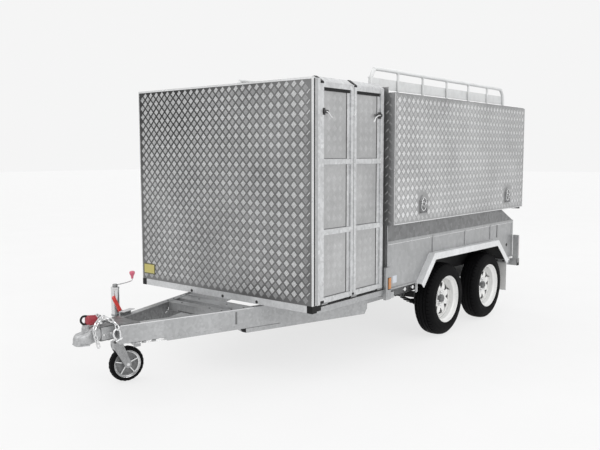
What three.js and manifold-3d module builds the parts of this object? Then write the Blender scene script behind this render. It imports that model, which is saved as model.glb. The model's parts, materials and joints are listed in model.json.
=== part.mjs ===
// Tandem-axle canopy trailer. Millimetres, +Z up, +Y to the rear, +X to the trailer's left.
// Y is measured from the front wall while building; the whole assembly is centred at the end.
import * as THREE from 'three';
import { mergeVertices } from 'three/addons/utils/BufferGeometryUtils.js';
import Module from 'manifold-3d';

const wasm = await Module();
wasm.setup();

// ---- driving dimensions ----
const GAP = 0.3;
const SHEET = 3;
const HALF_BODY = 915;
const HALF_CANOPY = 970;
const WALL_TOP = 2130;
const RAIL_TOP = 505;
const RAIL_DEPTH = 123;
const RAIL_WIDTH = 50;
const RAIL_ANGLE = THREE.MathUtils.degToRad(17);
const RAIL_X = 152;
const RAIL_Y = -800;
const RAIL_START = -200;
const RAIL_END = 1875;
const BEAM_X = [625, 685];
const BEAM_Y = [1008, 3400];
const BEAM_Z = [400, 520];
const SILL_Z = [518, 558];
const FLOOR_Z = 558.3;
const BAY_END = 945;
const TUB_Y = [950, 3400];
const TUB_BOTTOM = 545;
const TUB_TOP = 930;
const CANOPY_Y = [950.3, 3487];
const CANOPY_Z = [1060, 2082];
const LID_Z = [1066, 2083];
const LID_INNER = 945;
const WHEEL_R = 325;
const WHEEL_Y = [1921, 2776];
const WHEEL_X = [760, 945];
const ARCH = [[1400, 540], [1620, 773], [2930, 763], [3181, 540]];
const ARCH_INNER_X = 745;
const ARCH_LIP = 56;
const RAMP_Y = [92, 883];
const RAMP_X = [841, 913];
const RAMP_PLATE_X = [896, 899];
const RAMP_Z = [577, 2155];
const RAMP_STILE = 40;
const RUNG_H = 38;
const RUNG_Z = [577, 1056, 1546, 2072];
const RAMP_LATCH = { z: 1908, reach: 70, drop: 30, half: 10 };
const RACK_X = 735;
const RACK_Z = 2290;
const RACK_TUBE_R = 16;
const RACK_POSTS = [1370, 1780, 2220, 2660, 3080];
const TUB_SHEET_X = [905, 912];
const TUB_RAIL_X = [885, HALF_BODY];
const TUB_FLANGE_X = [905, 924];
const TUB_RIBS = [1680, 2294, 2844];
const MARKER_BRACKET = { x: [HALF_BODY + 0.3, 940], y: [897, 969], z: [478, 735] };
const CROSS_Z = [440, 502];
const CROSS_Y = { front: [-278, -200], rear: [-130, 0] };
const LATCH_Y = [1402, 3098];
const LATCH_Z = { plate: [1132, 1240], pivot: 1190, tip: 1262 };
const EYE_Z = 386;
const HALF_SPRING = 360;
const LEAF_SAG = 92.5;
const PACK_DEPTH = 42;
const HITCH_Y = -1212;
const BALL_R = 26;
const JOCKEY = [-251, -766];
const JOCKEY_CASTER = THREE.MathUtils.degToRad(16);
const JOCKEY_TRAIL = 68;
const JOCKEY_WHEEL_R = 127;

// ---- geometry helpers ----
const solid = (geometry) => {
  const bare = new THREE.BufferGeometry();
  bare.setAttribute('position', geometry.getAttribute('position'));
  if (geometry.index) bare.setIndex(geometry.index);
  const merged = mergeVertices(bare, 1e-4);
  return new wasm.Manifold(new wasm.Mesh({
    numProp: 3,
    vertProperties: new Float32Array(merged.getAttribute('position').array),
    triVerts: new Uint32Array(merged.index.array),
  }));
};
const toGeometry = (body) => {
  const mesh = body.getMesh();
  const geometry = new THREE.BufferGeometry();
  geometry.setAttribute('position', new THREE.BufferAttribute(new Float32Array(mesh.vertProperties), 3));
  geometry.setIndex(new THREE.BufferAttribute(new Uint32Array(mesh.triVerts), 1));
  return geometry;
};
const union = (parts) => toGeometry(parts.map(solid).reduce((a, b) => a.add(b)));
const cut = (base, tools) => toGeometry(tools.map(solid).reduce((a, b) => a.subtract(b), solid(base)));
const common = (a, b) => toGeometry(solid(a).intersect(solid(b)));

const box = (x, y, z) => {
  const geometry = new THREE.BoxGeometry(x[1] - x[0], y[1] - y[0], z[1] - z[0]);
  geometry.translate((x[0] + x[1]) / 2, (y[0] + y[1]) / 2, (z[0] + z[1]) / 2);
  return geometry;
};
const remap = (geometry, order) => {
  const p = geometry.getAttribute('position');
  const v = new THREE.Vector3();
  for (let i = 0; i < p.count; i += 1) {
    v.fromBufferAttribute(p, i);
    const a = v.toArray();
    p.setXYZ(i, a[order[0]], a[order[1]], a[order[2]]);
  }
  return geometry;
};
const extrude = (points, depth) => {
  const shape = new THREE.Shape(points.map(([u, v]) => new THREE.Vector2(u, v)));
  return new THREE.ExtrudeGeometry(shape, { depth, bevelEnabled: false });
};
// outline given as [y, z], swept along X
const prismX = (points, x) => remap(extrude(points, x[1] - x[0]), [2, 0, 1]).translate(x[0], 0, 0);
// outline given as [x, z], swept along Y
const prismY = (points, y) => {
  const turned = points.map(([x, z]) => [z, x]);
  return remap(extrude(turned, y[1] - y[0]), [1, 2, 0]).translate(0, y[0], 0);
};
// outline given as [x, y], swept along Z
const prismZ = (points, z) => extrude(points, z[1] - z[0]).translate(0, 0, z[0]);
// profile given as [radius, along]
const turned = (profile, segments, axis) => {
  const points = profile.map(([r, h]) => new THREE.Vector2(r, h));
  const geometry = new THREE.LatheGeometry(points, segments);
  if (axis === 'x') geometry.rotateZ(-Math.PI / 2);
  if (axis === 'z') geometry.rotateX(Math.PI / 2);
  return outward(geometry);
};
const outward = (geometry) => {
  const bare = new THREE.BufferGeometry();
  bare.setAttribute('position', geometry.getAttribute('position'));
  bare.setIndex(geometry.index);
  const merged = mergeVertices(bare, 1e-4);
  const index = Array.from(merged.index.array);
  const p = merged.getAttribute('position');
  const a = new THREE.Vector3();
  const b = new THREE.Vector3();
  const c = new THREE.Vector3();
  const kept = [];
  let volume = 0;
  for (let i = 0; i < index.length; i += 3) {
    const [i0, i1, i2] = index.slice(i, i + 3);
    if (i0 !== i1 && i1 !== i2 && i2 !== i0) {
      a.fromBufferAttribute(p, i0);
      b.fromBufferAttribute(p, i1);
      c.fromBufferAttribute(p, i2);
      volume += a.dot(b.clone().cross(c));
      kept.push(i0, i1, i2);
    }
  }
  if (volume < 0) {
    for (let i = 0; i < kept.length; i += 3) {
      [kept[i + 1], kept[i + 2]] = [kept[i + 2], kept[i + 1]];
    }
  }
  merged.setIndex(kept);
  return merged;
};
const rod = (from, to, radius, segments = 12) => {
  const a = new THREE.Vector3(...from);
  const b = new THREE.Vector3(...to);
  const geometry = new THREE.CylinderGeometry(radius, radius, a.distanceTo(b), segments);
  const turn = new THREE.Quaternion().setFromUnitVectors(
    new THREE.Vector3(0, 1, 0), b.clone().sub(a).normalize());
  geometry.applyQuaternion(turn);
  const middle = a.add(b).multiplyScalar(0.5);
  return geometry.translate(middle.x, middle.y, middle.z);
};
const swept = (points, radius, steps, segments = 8) => {
  const ring = [];
  for (let i = 0; i < segments; i += 1) {
    const angle = (i / segments) * 2 * Math.PI;
    ring.push(new THREE.Vector2(radius * Math.cos(angle), radius * Math.sin(angle)));
  }
  const path = new THREE.CatmullRomCurve3(points.map((q) => new THREE.Vector3(...q)), false, 'centripetal');
  return new THREE.ExtrudeGeometry(new THREE.Shape(ring), { steps, extrudePath: path, bevelEnabled: false });
};
const mirrored = (geometry) => {
  const copy = geometry.index ? geometry.toNonIndexed() : geometry.clone();
  const p = copy.getAttribute('position');
  const v = new THREE.Vector3();
  const w = new THREE.Vector3();
  for (let i = 0; i < p.count; i += 1) p.setX(i, -p.getX(i));
  for (let i = 0; i < p.count; i += 3) {
    v.fromBufferAttribute(p, i + 1);
    w.fromBufferAttribute(p, i + 2);
    p.setXYZ(i + 1, w.x, w.y, w.z);
    p.setXYZ(i + 2, v.x, v.y, v.z);
  }
  const bare = new THREE.BufferGeometry();
  bare.setAttribute('position', p);
  return mergeVertices(bare, 1e-4);
};
// offsets an open outline of [y, z] points to its left-hand side
const offsetPath = (points, distance) => {
  const moved = [];
  for (let i = 0; i < points.length; i += 1) {
    const before = points[Math.max(i - 1, 0)];
    const here = points[i];
    const after = points[Math.min(i + 1, points.length - 1)];
    const d0 = new THREE.Vector2(here[0] - before[0], here[1] - before[1]);
    const d1 = new THREE.Vector2(after[0] - here[0], after[1] - here[1]);
    const first = i === 0 ? d1.clone() : d0.clone();
    const last = i === points.length - 1 ? d0.clone() : d1.clone();
    const n0 = new THREE.Vector2(-first.y, first.x).normalize();
    const n1 = new THREE.Vector2(-last.y, last.x).normalize();
    const miter = n0.clone().add(n1);
    miter.multiplyScalar(distance / (1 + n0.dot(n1)));
    moved.push([here[0] + miter.x, here[1] + miter.y]);
  }
  return moved;
};
const band = (path, outer, inner) => offsetPath(path, outer).concat(offsetPath(path, inner).reverse());

// ---- assembly and finishes ----
const trailer = new THREE.Group();
const finish = {
  galvanised: { color: 0xa9adb0, metalness: 0.8, roughness: 0.5 },
  chequer: { color: 0xc6c8ca, metalness: 0.9, roughness: 0.35 },
  blackSteel: { color: 0x1b1b1c, metalness: 0.2, roughness: 0.6 },
  zinc: { color: 0xb4b6b8, metalness: 0.9, roughness: 0.35 },
  white: { color: 0xe2e2e0, metalness: 0.1, roughness: 0.4 },
  tyre: { color: 0x191919, metalness: 0, roughness: 0.85 },
  rubber: { color: 0x1c1c1c, metalness: 0, roughness: 0.8 },
  flap: { color: 0xb9b9b7, metalness: 0, roughness: 0.7 },
  red: { color: 0xb3261e, metalness: 0.1, roughness: 0.4 },
  lamp: { color: 0x8f1512, metalness: 0, roughness: 0.3 },
};
const add = (name, geometry, look) => {
  const mesh = new THREE.Mesh(geometry, new THREE.MeshStandardMaterial(finish[look]));
  mesh.name = name;
  trailer.add(mesh);
};
const pair = (name, geometry, look) => {
  add(`${name}_left`, geometry, look);
  add(`${name}_right`, mirrored(geometry), look);
};

// ---- drawbar ----
const along = new THREE.Vector2(Math.sin(RAIL_ANGLE), Math.cos(RAIL_ANGLE));
const railPoint = (a, inward) => [
  RAIL_X + a * along.x - inward * along.y,
  RAIL_Y + a * along.y + inward * along.x,
];
const railOutline = [
  [RAIL_START, RAIL_TOP], [RAIL_START, RAIL_TOP - RAIL_DEPTH], [100, RAIL_TOP - RAIL_DEPTH], [135, 357],
  [690, 357], [712, 336], [745, 323], [1848, 323], [RAIL_END, 368], [RAIL_END, RAIL_TOP],
];
const railBody = () => {
  const geometry = prismX(railOutline, [-RAIL_WIDTH, 0]);
  geometry.rotateZ(-RAIL_ANGLE);
  return geometry.translate(RAIL_X, RAIL_Y, 0);
};
pair('drawbar_rail', railBody(), 'galvanised');

const innerX = (y) => {
  const a = (y - RAIL_Y - RAIL_WIDTH * along.x) / along.y;
  return railPoint(a, RAIL_WIDTH)[0];
};
const between = (y, z) => prismZ([
  [-innerX(y[0]) + GAP, y[0]], [innerX(y[0]) - GAP, y[0]],
  [innerX(y[1]) - GAP, y[1]], [-innerX(y[1]) + GAP, y[1]],
], z);
add('drawbar_crossmember_front', between(CROSS_Y.front, CROSS_Z), 'galvanised');
add('drawbar_crossmember_rear', between(CROSS_Y.rear, CROSS_Z), 'galvanised');

const TONGUE = { x: 36, y: [-1092, -900], z: [412, 508] };
add('coupling_mount', union([
  box([-TONGUE.x, TONGUE.x], TONGUE.y, TONGUE.z),
  prismZ([[-92, -985], [92, -985], [134, -850], [-134, -850]], [RAIL_TOP + GAP, 513]),
]), 'galvanised');

// ---- chassis ----
const chassisParts = [];
const spanAll = [-HALF_BODY + RAIL_WIDTH - 1, HALF_BODY - RAIL_WIDTH + 1];
[-1, 1].forEach((side) => {
  const beamX = side < 0 ? [-BEAM_X[1], -BEAM_X[0]] : BEAM_X;
  const sillX = side < 0 ? [-HALF_BODY, -HALF_BODY + RAIL_WIDTH] : [HALF_BODY - RAIL_WIDTH, HALF_BODY];
  chassisParts.push(box(beamX, BEAM_Y, BEAM_Z));
  chassisParts.push(box(sillX, [50 + GAP, BAY_END], SILL_Z));
  chassisParts.push(box(side < 0 ? [-905, -BEAM_X[0] - 1] : [BEAM_X[0] + 1, 905], [1020, 1070], [470, 519]));
  chassisParts.push(box(side < 0 ? [-905, -BEAM_X[0] - 1] : [BEAM_X[0] + 1, 905], [3300, 3350], [470, 519]));
});
[[55, 95], [440, 490], [BAY_END - 45, BAY_END]].forEach((y) => {
  chassisParts.push(box(spanAll, y, SILL_Z));
});
[[1020, 1070], [1480, 1530], [2325, 2375], [3300, 3350]].forEach((y) => {
  chassisParts.push(box([-BEAM_X[0] - 1, BEAM_X[0] + 1], y, [430, 519]));
});
chassisParts.push(box([-400, -350], [BAY_END - 20, 1030], [500, 550]));
chassisParts.push(box([350, 400], [BAY_END - 20, 1030], [500, 550]));
add('chassis', union(chassisParts), 'galvanised');

// ---- floor ----
const archFoot = offsetPath(ARCH, 3);
const floorOutline = [
  [-864, 50 + GAP], [864, 50 + GAP], [864, RAMP_Y[0] - 1], [836, RAMP_Y[0] - 1], [836, RAMP_Y[1] + 1], [864, RAMP_Y[1] + 1], [864, BAY_END + 3],
  [904, BAY_END + 6], [904, archFoot[0][0] - 30], [ARCH_INNER_X - 2, archFoot[0][0] - 30],
  [ARCH_INNER_X - 2, archFoot[3][0] + 30], [904, archFoot[3][0] + 30], [904, 3358], [-904, 3358],
  [-904, archFoot[3][0] + 30], [-ARCH_INNER_X + 2, archFoot[3][0] + 30],
  [-ARCH_INNER_X + 2, archFoot[0][0] - 30], [-904, archFoot[0][0] - 30],
  [-904, BAY_END + 6], [-864, BAY_END + 3],
];
add('floor_plate', prismZ(floorOutline, [FLOOR_Z, FLOOR_Z + SHEET]), 'chequer');

// ---- front bay ----
const POST = [HALF_BODY - 50, HALF_BODY];
add('front_frame', union([
  box([-HALF_BODY, HALF_BODY], [0, 50], [525, 575]),
  box(POST, [SHEET + GAP, 90], [560, WALL_TOP - SHEET]),
  box([-POST[1], -POST[0]], [SHEET + GAP, 90], [560, WALL_TOP - SHEET]),
  box([-POST[0] - 1, POST[0] + 1], [SHEET + GAP, 53], [2080, WALL_TOP - SHEET]),
  box([-250, -210], [SHEET + GAP, 43], [574, 2081]),
  box([210, 250], [SHEET + GAP, 43], [574, 2081]),
]), 'galvanised');
add('front_sheet', box([-HALF_BODY, HALF_BODY], [0, SHEET], [575 + GAP, WALL_TOP]), 'chequer');
add('bay_shell', union([
  box([-HALF_BODY, -HALF_BODY + SHEET], [90 + GAP, BAY_END - 4], [SILL_Z[1] + GAP, WALL_TOP]),
  box([-HALF_BODY, 830], [SHEET + GAP, BAY_END - 4], [WALL_TOP - SHEET + GAP, WALL_TOP]),
  box([790, 830], [53 + GAP, BAY_END - 4], [2090, WALL_TOP]),
]), 'chequer');
add('bulkhead', prismY([
  [-903, FLOOR_Z + SHEET + GAP], [903, FLOOR_Z + SHEET + GAP], [903, 1064], [HALF_CANOPY, 1064],
  [HALF_CANOPY, 2085], [915, 2085], [915, WALL_TOP], [-915, WALL_TOP], [-915, 2085], [-HALF_CANOPY, 2085],
  [-HALF_CANOPY, 1064], [-903, 1064],
], [BAY_END - 4 + GAP, BAY_END]), 'chequer');

// ---- ramp ----
const middle = (RAMP_Y[0] + RAMP_Y[1]) / 2;
const rungTop = RUNG_Z[3] + RUNG_H;
const tongueTop = RAMP_Z[1] - 6;
const innerY = [RAMP_Y[0] + RAMP_STILE, RAMP_Y[1] - RAMP_STILE];
const barX = [RAMP_PLATE_X[1] + GAP, RAMP_X[1] - 2];
const stile = [
  [RAMP_X[0], RAMP_Z[0]], [RAMP_X[1], RAMP_Z[0]], [RAMP_X[1], rungTop],
  [RAMP_X[0] + 12, tongueTop], [RAMP_X[0], tongueTop],
];
const tongue = [
  [barX[1], rungTop - 6], [barX[1], rungTop - 1], [RAMP_X[0] + 12, tongueTop - 1],
  [RAMP_X[0] + 10, tongueTop - 5], [barX[1] - 4, rungTop - 6],
];
add('ramp_frame', union([
  prismY(stile, [RAMP_Y[0], innerY[0]]),
  prismY(stile, [innerY[1], RAMP_Y[1]]),
  box([barX[0], RAMP_X[1]], [middle - 35, middle + 35], [RAMP_Z[0], rungTop]),
  prismY(tongue, [innerY[0] - 1, middle - 4]),
  prismY(tongue, [middle + 4, innerY[1] + 1]),
  ...RUNG_Z.map((z) => box(barX, [RAMP_Y[0] + 2, RAMP_Y[1] - 2], [z, z + RUNG_H])),
]), 'galvanised');
add('ramp_plate', box(RAMP_PLATE_X, [innerY[0] + GAP, innerY[1] - GAP], [RAMP_Z[0], rungTop - 8]), 'chequer');
const rampLatch = (yPivot, direction) => {
  const { z, reach, drop, half } = RAMP_LATCH;
  const tail = [
    [yPivot, z - half], [yPivot + direction * reach, z - half - drop],
    [yPivot + direction * (reach + 4), z - drop], [yPivot, z + half],
  ];
  return union([
    rod([RAMP_X[1] + GAP, yPivot, z], [RAMP_X[1] + 16, yPivot, z], 13, 16),
    prismX(direction > 0 ? tail : tail.reverse(), [RAMP_X[1] + 4, RAMP_X[1] + 12]),
  ]);
};
add('ramp_latch_front', rampLatch(RAMP_Y[0] + 40, 1), 'blackSteel');
add('ramp_latch_rear', rampLatch(RAMP_Y[1] - 50, -1), 'blackSteel');

// ---- tub ----
const archClear = offsetPath(ARCH, GAP + 0.2);
const sideOutline = [
  [TUB_Y[0], TUB_BOTTOM + 9], [archClear[0][0], TUB_BOTTOM + 9], archClear[1], archClear[2],
  [archClear[3][0], TUB_BOTTOM + 9], [TUB_Y[1], TUB_BOTTOM + 9],
  [TUB_Y[1], TUB_TOP - 4], [TUB_Y[0], TUB_TOP - 4],
];
const slopeFront = (ARCH[1][0] - ARCH[0][0]) / (ARCH[1][1] - ARCH[0][1]);
const slopeRear = (ARCH[3][0] - ARCH[2][0]) / (ARCH[2][1] - ARCH[3][1]);
sideOutline[1][0] += slopeFront * (TUB_BOTTOM + 9 - ARCH[0][1]) + 0.2;
sideOutline[4][0] -= slopeRear * (TUB_BOTTOM + 9 - ARCH[3][1]) + 0.2;
const ribs = TUB_RIBS.map((y) => box([911, 918], [y - 8, y + 8], [777, TUB_TOP - 12]));
const endPostZ = [FLOOR_Z + SHEET + GAP, TUB_TOP - 20];
pair('tub_side', union([
  prismX(sideOutline, TUB_SHEET_X),
  box(TUB_RAIL_X, TUB_Y, [TUB_TOP - 25, TUB_TOP]),
  box(TUB_RAIL_X, [TUB_Y[0], TUB_Y[0] + 45], endPostZ),
  box(TUB_RAIL_X, [TUB_Y[1] - 40, TUB_Y[1]], endPostZ),
  box(TUB_FLANGE_X, [TUB_Y[0], ARCH[0][0] - 4], [TUB_BOTTOM, TUB_BOTTOM + 12]),
  box(TUB_FLANGE_X, [ARCH[3][0] + 4, TUB_Y[1]], [TUB_BOTTOM, TUB_BOTTOM + 12]),
  box(MARKER_BRACKET.x, MARKER_BRACKET.y, MARKER_BRACKET.z),
  box([908, HALF_BODY + 1], [TUB_Y[0] + 1, MARKER_BRACKET.y[1] - 1], [560, MARKER_BRACKET.z[1]]),
  ...ribs,
]), 'galvanised');
add('tailgate', union([
  box([-882, 882], [3384, 3388], [577, 925]),
  box([-882, 882], [3366, 3398], [577, 607]),
  box([-882, 882], [3366, 3398], [895, 925]),
  box([-882, -850], [3366, 3398], [600, 900]),
  box([850, 882], [3366, 3398], [600, 900]),
]), 'galvanised');

// ---- mudguards ----
pair('mudguard', union([
  prismX(band(ARCH, 0, -SHEET), [ARCH_INNER_X, HALF_CANOPY]),
  prismX(band(ARCH, 0, -ARCH_LIP), [HALF_CANOPY - SHEET, HALF_CANOPY]),
  prismX(ARCH.slice().reverse(), [ARCH_INNER_X, ARCH_INNER_X + SHEET]),
]), 'galvanised');
pair('mud_flap', box([748, 944], [3186, 3191], [215, 539]), 'flap');

// ---- canopy ----
const bandOutline = [
  [CANOPY_Y[0], TUB_TOP + GAP], [3385, TUB_TOP + GAP], [3072, CANOPY_Z[0] + 6], [CANOPY_Y[0], CANOPY_Z[0] + 6],
];
const frameSide = () => [
  prismX(bandOutline, [905, 912]),
  box([893, 944], CANOPY_Y, [CANOPY_Z[0], CANOPY_Z[0] + 40]),
  box([904, 944], CANOPY_Y, [CANOPY_Z[1] - 40, CANOPY_Z[1]]),
  ...[CANOPY_Y[0], 2200, CANOPY_Y[1] - 40]
    .map((y) => box([904, 944], [y, y + 40], [CANOPY_Z[0] + 5, CANOPY_Z[1] - 5])),
];
const canopyFrame = [...frameSide(), ...frameSide().map(mirrored)];
[CANOPY_Y[0], 1575, 2200, 2830, CANOPY_Y[1] - 40].forEach((y) => {
  canopyFrame.push(box([-905, 905], [y, y + 40], [CANOPY_Z[1] - 40, CANOPY_Z[1]]));
});
canopyFrame.push(box([-895, 895], [CANOPY_Y[1] - 40, CANOPY_Y[1]], [CANOPY_Z[0] - 15, CANOPY_Z[0] + 40]));
add('canopy_frame', union(canopyFrame), 'galvanised');
add('canopy_roof', box([-944, 944], CANOPY_Y, [CANOPY_Z[1] + GAP, CANOPY_Z[1] + 4]), 'chequer');
const LID_Y = [BAY_END + 5, 3490];
const latchPlate = (y) => [
  box([HALF_CANOPY - 1, HALF_CANOPY + 7], [y - 58, y + 58], LATCH_Z.plate),
  rod([HALF_CANOPY - 1, y, LATCH_Z.plate[1]], [HALF_CANOPY + 7, y, LATCH_Z.plate[1]], 42, 20),
];
const latchHandle = (y) => union([
  rod([HALF_CANOPY + 7 + GAP, y, LATCH_Z.pivot], [HALF_CANOPY + 16, y, LATCH_Z.pivot], 24, 20),
  box([HALF_CANOPY + 9, HALF_CANOPY + 15], [y - 11, y + 11], [LATCH_Z.pivot, LATCH_Z.tip]),
]);
pair('lid', union([
  box([HALF_CANOPY - SHEET, HALF_CANOPY], LID_Y, LID_Z),
  box([LID_INNER, HALF_CANOPY - 1], [LID_Y[0], LID_Y[0] + 25], LID_Z),
  box([LID_INNER, HALF_CANOPY - 1], [LID_Y[1] - 25, LID_Y[1]], LID_Z),
  box([LID_INNER, HALF_CANOPY - 1], LID_Y, [LID_Z[0], LID_Z[0] + 25]),
  box([LID_INNER, HALF_CANOPY - 1], LID_Y, [LID_Z[1] - 25, LID_Z[1]]),
  ...LATCH_Y.flatMap(latchPlate),
]), 'chequer');
pair('latch_handle_front', latchHandle(LATCH_Y[0]), 'zinc');
pair('latch_handle_rear', latchHandle(LATCH_Y[1]), 'zinc');
add('rear_door', union([
  box([-940, 940], [3505, 3508], [1068, 2080]),
  box([-940, 940], [3487 + GAP, 3506], [1068, 1095]),
  box([-940, 940], [3487 + GAP, 3506], [2053, 2080]),
  box([-940, -913], [3487 + GAP, 3506], [1090, 2060]),
  box([913, 940], [3487 + GAP, 3506], [1090, 2060]),
]), 'chequer');

// ---- roof rack ----
const ROOF_TOP = CANOPY_Z[1] + 4 + GAP;
const rackPath = [
  [RACK_X, 966, ROOF_TOP + 2], [RACK_X, 966, 2175], [RACK_X, 978, 2235], [RACK_X, 1012, 2276],
  [RACK_X, 1080, RACK_Z], [RACK_X, 1700, RACK_Z], [RACK_X, 2700, RACK_Z], [RACK_X, 3345, RACK_Z],
  [RACK_X, 3413, 2276], [RACK_X, 3453, 2235], [RACK_X, 3467, 2175], [RACK_X, 3467, ROOF_TOP + 2],
];
pair('rack', union([
  swept(rackPath, RACK_TUBE_R, 30, 8),
  box([RACK_X - 13, RACK_X - 9], [952, 3475], [2138, 2220]),
  ...RACK_POSTS.map((y) => rod([RACK_X, y, ROOF_TOP + 2], [RACK_X, y, RACK_Z], 11, 8)),
  ...[976, ...RACK_POSTS, 3457]
    .map((y) => box([RACK_X - 28, RACK_X + 28], [y - 24, y + 24], [ROOF_TOP, ROOF_TOP + 5])),
]), 'white');

// ---- rear bar and lamps ----
const lampBracket = box([HALF_BODY + 2, 975], [3404, 3428], [480, 770]);
add('rear_bar', union([
  box([-HALF_CANOPY, HALF_CANOPY], [TUB_Y[1] + GAP, 3450], [450, 520]),
  lampBracket,
  mirrored(lampBracket),
]), 'galvanised');
pair('tail_lamp', box([HALF_BODY + 6, 971], [3428 + GAP, 3456], [545, 755]), 'lamp');

// ---- running gear ----
const tyreProfile = [
  [186, -78], [205, -90], [250, -92.5], [300, -84], [WHEEL_R, -58], [WHEEL_R, 58],
  [300, 84], [250, 92.5], [205, 90], [186, 78], [186, -78],
];
const rimProfile = [
  [0, 14], [32, 14], [34, -14], [140, -4], [170, -14], [174, 70], [185.4, 76],
  [185.4, -60], [168, -22], [140, -12], [62, -26], [62, -74], [0, -74],
];
const MID_X = (WHEEL_X[0] + WHEEL_X[1]) / 2;
const wheelNames = ['front', 'rear'];
wheelNames.forEach((name, i) => {
  const tyre = turned(tyreProfile, 28, 'x').translate(MID_X, WHEEL_Y[i], WHEEL_R);
  const rim = turned(rimProfile, 28, 'x').translate(MID_X, WHEEL_Y[i], WHEEL_R);
  pair(`tyre_${name}`, tyre, 'tyre');
  pair(`rim_${name}`, rim, 'white');
  add(`axle_${name}`, box([-MID_X + 74 + GAP, MID_X - 74 - GAP], [WHEEL_Y[i] - 25, WHEEL_Y[i] + 25],
    [WHEEL_R - 25, WHEEL_R + 25]), 'blackSteel');
});
const leaf = (yc) => {
  const top = [];
  const bottom = [];
  const steps = 8;
  for (let i = 0; i <= steps; i += 1) {
    const t = (i / steps) * 2 - 1;
    const sag = 1 - t * t;
    top.push([yc + t * HALF_SPRING, EYE_Z + 4 - LEAF_SAG * sag]);
    const pack = PACK_DEPTH * Math.max(0, 1 - Math.abs(t) * 1.1);
    bottom.push([yc + t * HALF_SPRING, EYE_Z - 4 - LEAF_SAG * sag - pack]);
  }
  return top.concat(bottom.reverse()).reverse();
};
const ROCKER_Y = (WHEEL_Y[0] + WHEEL_Y[1]) / 2;
pair('spring', union([
  prismX(leaf(WHEEL_Y[0]), [627, 683]),
  prismX(leaf(WHEEL_Y[1]), [627, 683]),
  ...[WHEEL_Y[0] - HALF_SPRING, WHEEL_Y[0] + HALF_SPRING, WHEEL_Y[1] - HALF_SPRING, WHEEL_Y[1] + HALF_SPRING]
    .map((y) => rod([625, y, EYE_Z], [685, y, EYE_Z], 13, 12)),
  prismX([
    [ROCKER_Y - 75, EYE_Z - 14], [ROCKER_Y + 75, EYE_Z - 14], [ROCKER_Y + 75, EYE_Z + 6],
    [ROCKER_Y, EYE_Z + 13], [ROCKER_Y - 75, EYE_Z + 6],
  ], [640, 670]),
]), 'blackSteel');

// ---- coupling, chains ----
const headSide = prismX([
  [-1092 - GAP, 506], [-1130, 518], [-1158, 516], [-1190, 492], [-1238, 486], [-1262, 466], [-1264, 408],
  [-1170, 402], [-1092 - GAP, 416],
], [-70, 70]);
const headPlan = prismZ([
  [-36, -1092 - GAP], [-40, -1130], [-46, -1175], [-42, -1234], [-26, -1262], [26, -1262], [42, -1234],
  [46, -1175], [40, -1130], [36, -1092 - GAP],
].reverse(), [380, 560]);
const ballSocket = rod([0, HITCH_Y, 380], [0, HITCH_Y, 440], BALL_R, 24);
add('coupling_head', cut(common(headSide, headPlan), [ballSocket]), 'zinc');
const grip = [[-1174, 524], [-1094, 524], [-1094, 574], [-1171, 592]];
const loopPath = [
  [-1160, 534], [-1190, 536], [-1210, 552], [-1214, 574], [-1200, 590], [-1176, 590], [-1158, 582],
];
add('coupling_handle', union([
  prismX(grip, [-14, 14]),
  swept(loopPath.map(([y, z]) => [0, y, z]), 6, 20, 8),
]), 'red');
pair('safety_chain', swept([
  [92, -1006, 468], [88, -1004, 500], [70, -1017, 532], [45, -1045, 560], [22, -1073, 571],
  [42, -1126, 545], [60, -1158, 500], [62, -1147, 446], [60, -1130, 396],
], 9, 20, 6), 'zinc');

// ---- jockey wheel ----
const [jx, jy] = JOCKEY;
const out = [-Math.cos(RAIL_ANGLE), -Math.sin(RAIL_ANGLE)];
const faceDistance = (() => {
  const p = railPoint(0, 0);
  return (jx + p[0]) * out[0] + (jy - p[1]) * out[1];
})();
const PIVOT_Z = 455;
const fromTube = (d, z) => [jx - out[0] * d, jy - out[1] * d, z];
const facePlate = box([GAP, 10], [-62, 62], [385, 528]);
facePlate.rotateZ(RAIL_ANGLE);
facePlate.rotateZ(Math.PI);
facePlate.translate(fromTube(faceDistance, 0)[0], fromTube(faceDistance, 0)[1], 0);
add('jockey_bracket', union([
  facePlate,
  rod(fromTube(faceDistance - 6, PIVOT_Z), fromTube(44, PIVOT_Z), 30, 20),
]), 'zinc');
const outerTube = turned([[0, 690], [29, 690], [29, 365], [25, 365], [25, 678], [0, 678]], 24, 'z');
add('jockey_tube', union([
  outerTube.translate(jx, jy, 0),
  rod(fromTube(44 - GAP, PIVOT_Z), fromTube(27, PIVOT_Z), 38, 20),
]), 'zinc');
add('jockey_leg', rod([jx, jy, 296], [jx, jy, 600], 24.7, 24), 'zinc');
const trail = [Math.sin(JOCKEY_CASTER), Math.cos(JOCKEY_CASTER)];
const forkSide = [
  [-30, 295 - GAP], [-30, 262], [JOCKEY_TRAIL - 28, 112], [JOCKEY_TRAIL - 8, 100], [JOCKEY_TRAIL + 12, 102],
  [JOCKEY_TRAIL + 26, 120], [JOCKEY_TRAIL + 24, 142], [42, 262], [34, 295 - GAP],
];
const fork = union([
  prismX(forkSide, [-38, -33]),
  prismX(forkSide, [33, 38]),
  box([-38, 38], [-30, 34], [266, 295 - GAP]),
  rod([-44, JOCKEY_TRAIL, JOCKEY_WHEEL_R], [44, JOCKEY_TRAIL, JOCKEY_WHEEL_R], 8, 16),
]);
add('jockey_fork', fork.rotateZ(-JOCKEY_CASTER).translate(jx, jy, 0), 'zinc');
const smallWheel = turned([
  [8.4, -26], [20, -26], [22, -7], [74, -7], [84, -24], [104, -27], [JOCKEY_WHEEL_R, -12],
  [JOCKEY_WHEEL_R, 12], [104, 27], [84, 24], [74, 7], [22, 7], [20, 26], [8.4, 26], [8.4, -26],
], 28, 'x');
smallWheel.rotateZ(-JOCKEY_CASTER);
smallWheel.translate(jx + trail[0] * JOCKEY_TRAIL, jy + trail[1] * JOCKEY_TRAIL, JOCKEY_WHEEL_R);
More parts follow.
